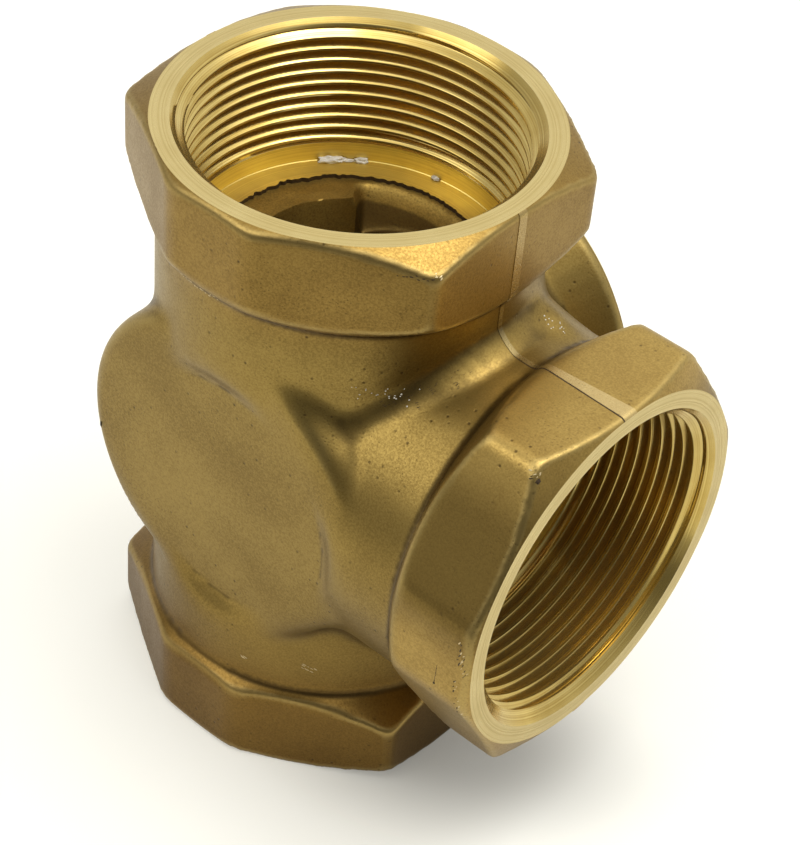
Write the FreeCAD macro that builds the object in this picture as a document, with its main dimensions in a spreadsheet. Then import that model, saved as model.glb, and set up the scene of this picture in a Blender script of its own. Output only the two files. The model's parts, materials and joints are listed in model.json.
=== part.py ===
import FreeCAD, Part
import math
import os

import Sketcher
from FreeCAD import Placement, Rotation, Vector

# Three-way rotary mixing valve with three internally threaded ports, in millimetres.
# The frame's origin is the centre of the lower port's face. +Z runs up the straight run of the
# valve, +X out of the side port, and +Y along the spindle, away from the closed back face.

SIZES = [
    # Port heads
    ("port_reach", 60.0, "centre of the valve to each port's face"),
    ("hex_flats", 69.0, "across the flats of a port's hexagon"),
    ("corner_trim", 5.0, "cut off the two corners in line with the spindle"),
    ("hex_length", 17.6, "length of the hexagon along the port"),
    ("hex_corner_radius", 3.0, "rounding of the four full corners"),
    ("trim_corner_radius", 9.0, "rounding of the trimmed corners"),
    ("ring_diameter", 68.3, "machined flat ring of a port's face"),
    ("mouth_bevel", 28.0, "slope of the hexagon's bevel at the face, degrees"),
    ("neck_bevel", 38.0, "slope of the hexagon's bevel at the neck, degrees"),
    ("neck_bevel_diameter", 68.0, "where the bevel at the neck starts"),
    ("neck_diameter", 66.0, "round neck behind the hexagon"),
    # Port bores
    ("mouth_diameter", 61.4, "countersink of the thread at the face"),
    ("thread_major", 59.614, "root of the female 2 inch pipe thread"),
    ("thread_minor", 56.656, "crest of the thread and the bore below it"),
    ("thread_depth", 23.6, "face to the end of the thread"),
    ("bore_depth", 28.2, "face to the machined ledge"),
    ("ledge_diameter", 47.4, "inner edge of the machined ledge"),
    ("throat_diameter", 35.2, "hole from the port into the chamber"),
    ("throat_drop", 1.1, "fall of the raw floor from the ledge to the throat"),
    # Spindle barrel, back face and flange
    ("barrel_diameter", 63.0, "round barrel about the spindle axis"),
    ("back_reach", 31.0, "port axes to the flat back face"),
    ("back_edge_radius", 2.5, "rounding of the back face's edge"),
    ("pad_diameter", 50.6, "flat sunk between the necks on the back"),
    ("pad_slope_width", 1.8, "sloped edge of that flat"),
    ("pad_side_shift", 1.2, "centre of the flat towards the side port"),
    ("pad_drop", 2.3, "centre of the flat below the side port's axis"),
    ("flange_diameter", 72.34, "flange on the spindle side"),
    ("flange_reach", 37.55, "port axes to the flange's face"),
    ("flange_rim", 1.3, "height of the flange's straight rim"),
    ("flare_start", 28.0, "port axes to where the barrel starts to flare"),
    ("chamber_diameter", 51.4, "bored chamber of the rotor"),
    ("chamber_floor", 25.5, "port axes to the floor of the chamber"),
    ("chamber_bevel", 0.6, "bevel at the chamber's open end"),
    ("saddle_radius", 9.0, "fillet between two necks"),
    ("root_radius", 2.5, "fillet between the barrel and the necks"),
    ("rim_bevel", 0.4, "bevel of the flange's rim"),
    # Rotor
    ("rotor_play", 0.4, "gap between the shutter and the chamber"),
    ("disc_reach", 20.2, "port axes to the inner face of a rotor disc"),
    ("disc_thickness", 3.5, "thickness of the rotor's two discs"),
    ("shutter_thickness", 3.2, "wall of the curved shutter"),
    ("shutter_angle", 90.0, "angle that the shutter covers"),
    ("hub_diameter", 18.0, "hub that carries the spindle"),
    ("hub_length", 9.3, "length of the hub beyond the front disc"),
    ("hub_floor", 1.5, "disc left under the hub's bore"),
    ("rest_turn", 45.0, "turn of the rotor at mid travel, degrees"),
    ("travel", 90.0, "whole travel of the rotor, degrees"),
    ("slot_reach", 21.0, "radius of the stop slot's centre line"),
    ("slot_width", 3.6, "width of the stop slot"),
    ("slot_depth", 2.6, "depth of the stop slot"),
    # Spindle and drive pin
    ("spindle_diameter", 10.0, "spindle"),
    ("spindle_reach", 64.0, "port axes to the spindle's outer end"),
    ("spindle_bevel", 0.8, "bevel of the spindle's end"),
    ("flat_length", 8.0, "length of the flat on the spindle"),
    ("flat_depth", 1.0, "depth of that flat"),
    ("end_gap", 0.2, "gap at the ends of what turns"),
    ("drive_pin_diameter", 3.0, "cross pin of the hub"),
    ("drive_pin_reach", 28.6, "port axes to the drive pin"),
    ("pin_fit", 0.03, "gap round the drive pin and in the hub"),
    ("drive_pin_length", 17.6, "cross pin, just below the hub's surface"),
    # Bearings and washers
    ("bearing_gap", 0.06, "gap between a journal and its bush"),
    ("journal_length", 4.3, "rear journal of the rotor"),
    ("bush_wall", 2.0, "wall of the rear bush"),
    ("bush_flange", 3.0, "flange of the rear bush beyond its wall"),
    ("bush_flange_thickness", 1.0, "thickness of that flange"),
    ("bush_bore_depth", 3.0, "blind bore for the rear bush"),
    ("washer_gap", 0.3, "gap between a slip ring and what turns in it"),
    ("rear_washer_diameter", 20.0, "slip ring behind the rotor"),
    ("rear_washer_thickness", 0.6, "slip ring behind the rotor"),
    ("front_washer_thickness", 0.8, "slip ring in front of the hub"),
    ("spindle_bush_wall", 3.0, "wall of the bush in the bonnet"),
    ("spindle_bush_length", 4.0, "length of the bush in the bonnet"),
    # Bonnet
    ("bonnet_diameter", 68.8, "round plate of the bonnet"),
    ("bonnet_thickness", 2.5, "thickness of the plate"),
    ("bonnet_bevel", 1.0, "bevel of the plate's edge"),
    ("bonnet_reach", 46.0, "port axes to the top of the bonnet's hub"),
    ("bonnet_hub_diameter", 25.0, "hub of the bonnet at its top"),
    ("bonnet_hub_spread", 1.0, "growth of the hub's radius towards the plate"),
    ("spigot_gap", 0.1, "gap between the spigot and the chamber"),
    ("spigot_clearance", 0.5, "gap between the spigot's end and the rotor"),
    ("spigot_bore", 36.0, "recess inside the spigot"),
    ("seal_cord", 1.6, "cord of the bonnet's seal ring"),
    ("seal_reach", 31.2, "port axes to the bonnet's seal ring"),
    ("seal_gap", 0.05, "gap left round a seal ring in its groove"),
    ("spindle_cord", 1.78, "cord of the two spindle seal rings"),
    ("inner_ring_reach", 39.5, "port axes to the inner spindle seal"),
    ("outer_ring_reach", 42.5, "port axes to the outer spindle seal"),
    ("land_gap", 0.25, "gap between the spindle and the bonnet's lands"),
    ("groove_play", 0.3, "length that a groove has beyond its cord"),
    ("dust_ring_wall", 2.4, "wall of the dust ring"),
    ("dust_ring_height", 1.3, "height of the dust ring"),
    ("dust_seat_depth", 1.6, "depth of the dust ring's seat"),
    ("slip_washer_diameter", 16.0, "washer on the bonnet's hub"),
    ("slip_washer_thickness", 0.5, "thickness of that washer"),
    ("ring_thickness", 0.9, "thickness of the retaining ring"),
    ("ring_wall", 2.4, "wall of the retaining ring"),
    ("ring_groove_depth", 0.6, "depth of its groove in the spindle"),
    ("ring_opening", 50.0, "opening of the retaining ring, degrees"),
    ("small_gap", 0.1, "gap between two washers"),
    # Screws and stop pin
    ("screw_circle", 58.2, "pitch circle of the bonnet screws"),
    ("screw_diameter", 4.0, "bonnet screw"),
    ("screw_length", 8.0, "bonnet screw, head included"),
    ("screw_head", 7.5, "countersunk head, cone of 90 degrees"),
    ("screw_socket", 2.5, "across the flats of the screw's socket"),
    ("socket_depth", 1.3, "depth of the screw's socket"),
    ("screw_gap", 0.05, "gap round a screw in the body"),
    ("screw_hole_play", 0.15, "gap round a screw in the bonnet"),
    ("screw_hole_depth", 6.4, "depth of a screw hole in the flange"),
    ("screw_sink", 0.1, "screw head below the plate's face"),
    ("stop_pin_diameter", 3.0, "pin that limits the travel"),
    ("stop_pin_length", 6.0, "length of the stop pin"),
    ("stop_pin_seat", 3.6, "part of the stop pin inside the bonnet"),
]
SCREW_ANGLES = (45, 135, 225, 315)

PLANE_UP = Rotation(Vector(1, 0, 0), 90)
X_AXIS, Y_AXIS, Z_AXIS = Vector(1, 0, 0), Vector(0, 1, 0), Vector(0, 0, 1)


class Size:
    """A length or an angle: its present number, and the sheet's rule that gives it."""

    def __init__(self, rule, number):
        self.rule = rule
        self.number = number

    def __add__(self, other):
        return combine(self, "+", other)

    def __radd__(self, other):
        return combine(other, "+", self)

    def __sub__(self, other):
        return combine(self, "-", other)

    def __rsub__(self, other):
        return combine(other, "-", self)

    def __mul__(self, other):
        return combine(self, "*", other)

    def __rmul__(self, other):
        return combine(other, "*", self)

    def __truediv__(self, other):
        return combine(self, "/", other)

    def __neg__(self):
        return combine(0, "-", self)


def as_size(value):
    return value if isinstance(value, Size) else Size(repr(float(value)), float(value))


def combine(left, sign, right):
    """Join two sizes with +, -, * or /."""
    left, right = as_size(left), as_size(right)
    numbers = {
        "+": left.number + right.number,
        "-": left.number - right.number,
        "*": left.number * right.number,
        "/": left.number / right.number if right.number else 0.0,
    }
    return Size(f"({left.rule} {sign} {right.rule})", numbers[sign])


def trig(name, angle):
    """Sine, cosine or tangent of an angle in degrees."""
    angle = as_size(angle)
    return Size(f"{name}({angle.rule})", getattr(math, name)(math.radians(angle.number)))


class Sizes:
    """The driving dimensions, one attribute for each row of the sheet."""

    def __init__(self, doc):
        self.sheet = doc.addObject("Spreadsheet::Sheet", "Sizes")
        for row, (name, number, meaning) in enumerate(SIZES, start=1):
            self.sheet.set(f"A{row}", name)
            self.sheet.set(f"B{row}", repr(number))
            self.sheet.set(f"C{row}", meaning)
            self.sheet.setAlias(f"B{row}", name)
            setattr(self, name, Size(f"Sizes.{name}", number))


doc = FreeCAD.newDocument("mixing_valve")
size = Sizes(doc)
doc.recompute()


# Helpers: sketches, features and bodies whose sizes follow the sheet

def bind(item, prop, value):
    item.setExpression(prop, as_size(value).rule)


def new_body(label):
    body = doc.addObject("PartDesign::Body", label)
    body.Label = label
    return body


def ground_plane(body):
    for plane in body.Origin.OriginFeatures:
        if plane.Role == "XY_Plane":
            return plane
    raise RuntimeError("no XY plane in " + body.Label)


def new_sketch(body, name, base=(0, 0, 0), turn=Rotation()):
    """A sketch in the body, its origin at base and its axes turned by turn."""
    sketch = body.newObject("Sketcher::SketchObject", name)
    sketch.AttachmentSupport = [(ground_plane(body), "")]
    sketch.MapMode = "FlatFace"
    numbers = [as_size(value).number for value in base]
    sketch.AttachmentOffset = Placement(Vector(*numbers), turn)
    for letter, value in zip("xyz", base):
        bind(sketch, f"AttachmentOffset.Base.{letter}", value)
    return sketch


def fix_point(sketch, line, end, place):
    """Hold one end of a sketch element at a place given by two sizes."""
    rules = (("DistanceX", -2, place[0]), ("DistanceY", -1, place[1]))
    for kind, axis, value in rules:
        value = as_size(value)
        if value.rule == "0.0":
            sketch.addConstraint(Sketcher.Constraint("PointOnObject", line, end, axis))
        else:
            index = sketch.addConstraint(
                Sketcher.Constraint(kind, -1, 1, line, end, value.number))
            bind(sketch, f"Constraints[{index}]", value)


def add_outline(sketch, places):
    """A closed outline of straight lines through the places."""
    spots = [Vector(as_size(u).number, as_size(v).number, 0) for u, v in places]
    first = sketch.GeometryCount
    count = len(places)
    for step in range(count):
        sketch.addGeometry(Part.LineSegment(spots[step], spots[(step + 1) % count]), False)
    for step in range(count):
        following = first + (step + 1) % count
        sketch.addConstraint(Sketcher.Constraint("Coincident", first + step, 2, following, 1))
    for step, place in enumerate(places):
        fix_point(sketch, first + step, 1, place)


def add_circle(sketch, diameter, centre=(0, 0)):
    diameter = as_size(diameter)
    spot = Vector(as_size(centre[0]).number, as_size(centre[1]).number, 0)
    line = sketch.addGeometry(Part.Circle(spot, Z_AXIS, diameter.number / 2), False)
    fix_point(sketch, line, 3, centre)
    index = sketch.addConstraint(Sketcher.Constraint("Diameter", line, diameter.number))
    bind(sketch, f"Constraints[{index}]", diameter)


def turn_feature(body, kind, name, sketch, angle=360):
    """A revolution or a groove about the sketch's upright axis, centred on its plane."""
    feature = body.newObject("PartDesign::" + kind, name)
    feature.Profile = sketch
    feature.ReferenceAxis = (sketch, ["V_Axis"])
    feature.Midplane = True
    bind(feature, "Angle", angle)
    sketch.Visibility = False
    doc.recompute()
    return feature


def push_feature(body, kind, name, sketch, length, backwards=False, midplane=False):
    """A pad or a pocket of the sketch."""
    feature = body.newObject("PartDesign::" + kind, name)
    feature.Profile = sketch
    bind(feature, "Length", length)
    feature.Reversed = backwards
    feature.Midplane = midplane
    sketch.Visibility = False
    doc.recompute()
    return feature


def repeat_round(body, name, feature, sketch, axis):
    """Repeat a screw's hole round an axis of the sketch."""
    pattern = body.newObject("PartDesign::PolarPattern", name)
    pattern.Originals = [feature]
    pattern.Axis = (sketch, [axis])
    pattern.Angle = 360
    pattern.Occurrences = len(SCREW_ANGLES)
    body.Tip = pattern
    doc.recompute()


def near(number, other, gap=0.02):
    return abs(number - other) < gap


def is_circle(edge):
    return isinstance(edge.Curve, Part.Circle)


def samples(edge, count=5):
    """Points spread along an edge, away from its ends."""
    span = edge.LastParameter - edge.FirstParameter
    return [edge.valueAt(edge.FirstParameter + span * (step + 0.5) / count)
            for step in range(count)]


def fillet(body, name, radius, wanted):
    """A fillet on every edge of the body's tip that the test wants."""
    base = body.Tip
    edges = [f"Edge{number}" for number, edge in enumerate(base.Shape.Edges, start=1)
             if wanted(edge)]
    if not edges:
        raise RuntimeError("no edge found for " + name)
    feature = body.newObject("PartDesign::Fillet", name)
    feature.Base = (base, edges)
    bind(feature, "Radius", radius)
    doc.recompute()
    return feature


def on_spindle_axis(body, turn=None):
    """Put a body, drawn about its own Y axis, on the valve's spindle axis."""
    if turn is not None:
        body.Placement = Placement(Vector(), Rotation(Y_AXIS, as_size(turn).number))
        bind(body, "Placement.Rotation.Angle", turn)
    bind(body, "Placement.Base.z", size.port_reach)
    doc.recompute()


def turned(label, places, angle=360, turn=None):
    """A body turned about the spindle axis from an outline of (radius, reach) places."""
    body = new_body(label)
    sketch = new_sketch(body, label + "_section")
    add_outline(sketch, places)
    turn_feature(body, "Revolution", label + "_turned", sketch, angle)
    on_spindle_axis(body, turn)
    return body


def ring_places(inner, outer, start, end):
    """The four corners of a plain ring's section."""
    return [(inner, start), (outer, start), (outer, end), (inner, end)]


# The forged body

def port_faces():
    """Each port's name, the centre of its face, and the turn from +Z to its outward direction."""
    reach = size.port_reach
    return [
        ("upper", (0, 0, reach * 2), Rotation()),
        ("lower", (0, 0, 0), Rotation(X_AXIS, 180)),
        ("side", (reach, 0, reach), Rotation(Y_AXIS, 90)),
    ]


def hexagon_places():
    """A hexagon with two flats across the port's first axis and two trimmed corners."""
    half = size.hex_flats / 2
    tip = half / trig("cos", 30) - size.corner_trim
    corner = half * trig("tan", 30)
    trimmed = size.corner_trim * trig("tan", 60)
    quarter = [(half, corner), (trimmed, tip)]
    mirrored = [(-u, v) for u, v in reversed(quarter)]
    upper = quarter + mirrored
    return upper + [(-u, -v) for u, v in upper]


def add_barrel(body):
    """The barrel about the spindle axis, flaring out to the flange."""
    sketch = new_sketch(body, "barrel_section", (0, 0, size.port_reach))
    add_outline(sketch, [
        (0, -size.back_reach),
        (size.barrel_diameter / 2, -size.back_reach),
        (size.barrel_diameter / 2, size.flare_start),
        (size.flange_diameter / 2, size.flange_reach - size.flange_rim),
        (size.flange_diameter / 2, size.flange_reach - size.rim_bevel),
        (size.flange_diameter / 2 - size.rim_bevel, size.flange_reach),
        (0, size.flange_reach),
    ])
    turn_feature(body, "Revolution", "barrel", sketch)

    def at_back(edge):
        return is_circle(edge) and near(edge.CenterOfMass.y, -size.back_reach.number)

    fillet(body, "back_edge", size.back_edge_radius, at_back)


def add_necks(body):
    """The upright neck of the run and the level neck of the side port, with their fillets."""
    upright = new_sketch(body, "run_neck_circle")
    add_circle(upright, size.neck_diameter)
    push_feature(body, "Pad", "run_neck", upright, size.port_reach * 2)
    level = new_sketch(body, "side_neck_circle", (0, 0, size.port_reach), Rotation(Y_AXIS, 90))
    add_circle(level, size.neck_diameter)
    push_feature(body, "Pad", "side_neck", level, size.port_reach)

    neck = size.neck_diameter.number / 2
    barrel = size.barrel_diameter.number / 2
    rounded = -size.back_reach.number + size.back_edge_radius.number

    def on_run(spot):
        return near(math.hypot(spot.x, spot.y), neck)

    def on_side(spot):
        return near(math.hypot(spot.z - size.port_reach.number, spot.y), neck)

    def on_barrel(spot):
        radius = math.hypot(spot.x, spot.z - size.port_reach.number)
        return near(radius, barrel) and rounded < spot.y < size.flare_start.number

    def between_necks(edge):
        return all(on_run(spot) and on_side(spot) for spot in samples(edge))

    def at_barrel_root(edge):
        lies_on = all(on_barrel(spot) for spot in samples(edge))
        return lies_on and isinstance(edge.Curve, Part.BSplineCurve)

    fillet(body, "saddles", size.saddle_radius, between_necks)
    fillet(body, "barrel_roots", size.root_radius, at_barrel_root)


def add_port_heads(body):
    """The three hexagons, their corners rounded and bevelled at the face and at the neck."""
    for name, centre, turn in port_faces():
        sketch = new_sketch(body, name + "_hexagon_outline", centre, turn)
        add_outline(sketch, hexagon_places())
        push_feature(body, "Pad", name + "_hexagon", sketch, size.hex_length, backwards=True)
    tip = hexagon_places()[1][1].number

    def is_corner(edge):
        return near(edge.Length, size.hex_length.number) and isinstance(edge.Curve, Part.Line)

    def trimmed_corner(edge):
        return is_corner(edge) and near(abs(edge.CenterOfMass.y), tip)

    def full_corner(edge):
        return is_corner(edge) and near(abs(edge.CenterOfMass.y), hexagon_places()[0][1].number)

    fillet(body, "trimmed_corners", size.trim_corner_radius, trimmed_corner)
    fillet(body, "full_corners", size.hex_corner_radius, full_corner)


def bevel_port_heads(body):
    """Cut the hexagons' corners to a cone at each face and at each neck."""
    blank = size.hex_flats / 2 / trig("cos", 30) + size.corner_trim
    ring = size.ring_diameter / 2
    heel = size.neck_bevel_diameter / 2
    mouth_fall = (blank - ring) * trig("tan", size.mouth_bevel)
    neck_rise = (blank - heel) * trig("tan", size.neck_bevel)
    for name, centre, turn in port_faces():
        sketch = new_sketch(body, name + "_bevels", centre, turn * PLANE_UP)
        add_outline(sketch, [(ring, 0), (blank, 0), (blank, -mouth_fall)])
        add_outline(sketch, [
            (heel, -size.hex_length),
            (blank, -size.hex_length + neck_rise),
            (blank, -size.hex_length),
        ])
        turn_feature(body, "Groove", name + "_bevel_cut", sketch)


def sink_back_flat(body):
    """Cut the flat of the back face into the necks that stand proud of it."""
    centre = (size.pad_side_shift, 0, size.port_reach - size.pad_drop)
    sketch = new_sketch(body, "back_flat_section", centre)
    radius = size.pad_diameter / 2
    outer = -(size.neck_diameter / 2 + size.pad_slope_width)
    add_outline(sketch, [
        (0, -size.back_reach),
        (radius, -size.back_reach),
        (radius + size.pad_slope_width, outer),
        (0, outer),
    ])
    turn_feature(body, "Groove", "back_flat", sketch)


def bore_ports(body):
    """Each port's bore: countersink, thread root, plain bore, ledge, raw floor and throat."""
    mouth = size.mouth_diameter / 2
    root = size.thread_major / 2
    crest = size.thread_minor / 2
    throat = size.throat_diameter / 2
    floor = size.bore_depth + size.throat_drop
    inside = size.port_reach - size.chamber_diameter / 4
    for name, centre, turn in port_faces():
        sketch = new_sketch(body, name + "_bore_section", centre, turn * PLANE_UP)
        add_outline(sketch, [
            (0, 0),
            (mouth, 0),
            (root, -(mouth - root)),
            (root, -size.thread_depth),
            (crest, -size.thread_depth - (root - crest)),
            (crest, -size.bore_depth),
            (size.ledge_diameter / 2, -size.bore_depth),
            (throat, -floor),
            (throat, -inside),
            (0, -inside),
        ])
        turn_feature(body, "Groove", name + "_bore", sketch)


def bore_chamber(body):
    """The rotor's chamber, bored from the flange, with the blind bore of the rear bush."""
    sketch = new_sketch(body, "chamber_section", (0, 0, size.port_reach))
    chamber = size.chamber_diameter / 2
    bush = size.spindle_diameter / 2 + size.bush_wall
    add_outline(sketch, [
        (0, -size.chamber_floor - size.bush_bore_depth),
        (bush, -size.chamber_floor - size.bush_bore_depth),
        (bush, -size.chamber_floor),
        (chamber, -size.chamber_floor),
        (chamber, size.flange_reach - size.chamber_bevel),
        (chamber + size.chamber_bevel, size.flange_reach),
        (0, size.flange_reach),
    ])
    turn_feature(body, "Groove", "chamber", sketch)


def drill_flange(body):
    """Four blind screw holes in the flange's face."""
    face = (0, size.flange_reach, size.port_reach)
    sketch = new_sketch(body, "screw_hole_circle", face, Rotation(X_AXIS, -90))
    reach = size.screw_circle / 2
    angle = SCREW_ANGLES[0]
    centre = (reach * trig("cos", angle), reach * trig("sin", angle))
    add_circle(sketch, size.screw_diameter + size.screw_gap * 2, centre)
    hole = push_feature(body, "Pocket", "screw_hole", sketch, size.screw_hole_depth)
    repeat_round(body, "screw_holes", hole, sketch, "N_Axis")


def valve_body():
    body = new_body("valve_body")
    add_barrel(body)
    add_necks(body)
    add_port_heads(body)
    bevel_port_heads(body)
    sink_back_flat(body)
    bore_ports(body)
    bore_chamber(body)
    drill_flange(body)
    return body


# The rotor and what turns with it

def facing(reach, name, body):
    """A sketch square to the spindle axis, its normal along +Y."""
    return new_sketch(body, name, (0, reach, 0), Rotation(X_AXIS, -90))


def disc_outer():
    return size.disc_reach + size.disc_thickness


def hub_end():
    return disc_outer() + size.hub_length


def rotor():
    """Two discs joined by a curved shutter, with a rear journal and a front hub."""
    body = new_body("rotor")
    outer = size.chamber_diameter / 2 - size.rotor_play
    shaft = size.spindle_diameter / 2

    shutter = new_sketch(body, "shutter_section")
    add_outline(shutter, ring_places(outer - size.shutter_thickness, outer,
                                     -size.disc_reach, size.disc_reach))
    turn_feature(body, "Revolution", "shutter", shutter, size.shutter_angle)

    rear = new_sketch(body, "rear_disc_section")
    add_outline(rear, [
        (0, -size.disc_reach),
        (outer, -size.disc_reach),
        (outer, -disc_outer()),
        (shaft, -disc_outer()),
        (shaft, -disc_outer() - size.journal_length),
        (0, -disc_outer() - size.journal_length),
    ])
    turn_feature(body, "Revolution", "rear_disc", rear)

    front = new_sketch(body, "front_disc_section")
    add_outline(front, [
        (0, size.disc_reach),
        (outer, size.disc_reach),
        (outer, disc_outer()),
        (size.hub_diameter / 2, disc_outer()),
        (size.hub_diameter / 2, hub_end()),
        (0, hub_end()),
    ])
    turn_feature(body, "Revolution", "front_disc", front)

    bore = new_sketch(body, "hub_bore_section")
    add_outline(bore, ring_places(0, shaft + size.pin_fit,
                                  size.disc_reach + size.hub_floor, hub_end()))
    turn_feature(body, "Groove", "hub_bore", bore)
    cross_hole(body)
    cut_stop_slot(body)
    on_spindle_axis(body, size.rest_turn)
    return body


def cross_hole(body):
    """The drive pin's hole through a piece on the spindle axis."""
    sketch = new_sketch(body, body.Label + "_pin_circle", turn=Rotation(Y_AXIS, 90))
    add_circle(sketch, size.drive_pin_diameter + size.pin_fit * 2, (0, size.drive_pin_reach))
    push_feature(body, "Pocket", body.Label + "_pin_hole", sketch, size.hub_diameter * 2,
                 midplane=True)


def cut_stop_slot(body):
    """The curved slot of the front disc, closed by round ends, in which the stop pin runs."""
    near_side = size.slot_reach - size.slot_width / 2
    far_side = size.slot_reach + size.slot_width / 2
    slot = new_sketch(body, "stop_slot_section")
    add_outline(slot, ring_places(-far_side, -near_side,
                                  disc_outer() - size.slot_depth, disc_outer()))
    turn_feature(body, "Groove", "stop_slot", slot, size.travel)
    ends = facing(disc_outer(), "stop_slot_end_circles", body)
    for side in (-1, 1):
        angle = size.travel / 2 * side
        add_circle(ends, size.slot_width, (-size.slot_reach * trig("cos", angle),
                                           size.slot_reach * trig("sin", angle)))
    push_feature(body, "Pocket", "stop_slot_ends", ends, size.slot_depth)


def spindle():
    """The spindle, with a groove for the retaining ring and a flat for a knob or a drive."""
    body = new_body("spindle")
    radius = size.spindle_diameter / 2
    groove = radius - size.ring_groove_depth
    sketch = new_sketch(body, "spindle_section")
    add_outline(sketch, [
        (0, size.disc_reach + size.hub_floor + size.end_gap),
        (radius, size.disc_reach + size.hub_floor + size.end_gap),
        (radius, ring_start() - size.small_gap),
        (groove, ring_start() - size.small_gap),
        (groove, ring_start() + size.ring_thickness),
        (radius, ring_start() + size.ring_thickness),
        (radius, size.spindle_reach - size.spindle_bevel),
        (radius - size.spindle_bevel, size.spindle_reach),
        (0, size.spindle_reach),
    ])
    turn_feature(body, "Revolution", "shaft", sketch)
    cross_hole(body)
    flat = facing(size.spindle_reach, "flat_outline", body)
    add_outline(flat, ring_places(radius - size.flat_depth, size.spindle_diameter,
                                  -size.spindle_diameter, size.spindle_diameter))
    push_feature(body, "Pocket", "flat", flat, size.flat_length)
    on_spindle_axis(body, size.rest_turn)
    return body


def ring_start():
    """Reach of the retaining ring's inner face."""
    return size.bonnet_reach + size.slip_washer_thickness + size.small_gap


def drive_pin():
    body = new_body("drive_pin")
    sketch = new_sketch(body, "drive_pin_circle", turn=Rotation(Y_AXIS, 90))
    add_circle(sketch, size.drive_pin_diameter, (0, size.drive_pin_reach))
    push_feature(body, "Pad", "cross_pin", sketch, size.drive_pin_length, midplane=True)
    on_spindle_axis(body, size.rest_turn)
    return body


def retaining_ring():
    inner = size.spindle_diameter / 2 - size.ring_groove_depth + size.seal_gap
    places = ring_places(inner, inner + size.ring_wall,
                         ring_start(), ring_start() + size.ring_thickness)
    return turned("retaining_ring", places, 360 - size.ring_opening, size.rest_turn)


# Bearings, slip rings and seals

def rear_bush():
    inner = size.spindle_diameter / 2 + size.bearing_gap
    wall = size.spindle_diameter / 2 + size.bush_wall
    end = -size.chamber_floor - size.bush_bore_depth + size.end_gap
    face = -size.chamber_floor + size.bush_flange_thickness
    return turned("rear_bush", [
        (inner, end),
        (wall, end),
        (wall, -size.chamber_floor),
        (wall + size.bush_flange, -size.chamber_floor),
        (wall + size.bush_flange, face),
        (inner, face),
    ])


def rear_thrust_washer():
    seat = -size.chamber_floor + size.bush_flange_thickness
    return turned("rear_thrust_washer", ring_places(
        size.spindle_diameter / 2 + size.washer_gap, size.rear_washer_diameter / 2,
        seat, seat + size.rear_washer_thickness))


def ceiling():
    """Reach of the ceiling of the bonnet's recess, where the hub's slip ring lies."""
    return hub_end() + size.end_gap + size.front_washer_thickness


def front_thrust_washer():
    return turned("front_thrust_washer", ring_places(
        size.spindle_diameter / 2 + size.washer_gap, size.hub_diameter / 2,
        hub_end() + size.end_gap, ceiling()))


def spindle_bush():
    shaft = size.spindle_diameter / 2
    return turned("spindle_bush", ring_places(
        shaft + size.bearing_gap, shaft + size.spindle_bush_wall,
        ceiling(), ceiling() + size.spindle_bush_length))


def seal_ring(label, cord, inner, reach):
    """A seal ring about the spindle axis, its round cord drawn with eight sides."""
    side = cord / 2 * trig("tan", 22.5)
    middle = inner + cord / 2
    half = cord / 2
    return turned(label, [
        (middle + half, reach - side),
        (middle + half, reach + side),
        (middle + side, reach + half),
        (middle - side, reach + half),
        (middle - half, reach + side),
        (middle - half, reach - side),
        (middle - side, reach - half),
        (middle + side, reach - half),
    ])


def bonnet_o_ring():
    inner = size.chamber_diameter / 2 - size.seal_gap - size.seal_cord
    return seal_ring("bonnet_o_ring", size.seal_cord, inner, size.seal_reach)


def spindle_o_rings():
    inner = size.spindle_diameter / 2 + size.seal_gap
    return [
        seal_ring("spindle_o_ring_inner", size.spindle_cord, inner, size.inner_ring_reach),
        seal_ring("spindle_o_ring_outer", size.spindle_cord, inner, size.outer_ring_reach),
    ]


def dust_ring():
    inner = size.spindle_diameter / 2 + size.seal_gap
    seat = size.bonnet_reach - size.dust_seat_depth
    return turned("dust_ring", ring_places(
        inner, inner + size.dust_ring_wall, seat, seat + size.dust_ring_height))


def slip_washer():
    return turned("slip_washer", ring_places(
        size.spindle_diameter / 2 + size.small_gap, size.slip_washer_diameter / 2,
        size.bonnet_reach, size.bonnet_reach + size.slip_washer_thickness))


# The bonnet with its screws and stop pin

def groove_places(wall, floor, cord, reach):
    """The four corners of a seal groove, in the order of rising reach."""
    half = (cord + size.groove_play) / 2
    return [(wall, reach - half), (floor, reach - half), (floor, reach + half), (wall, reach + half)]


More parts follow.
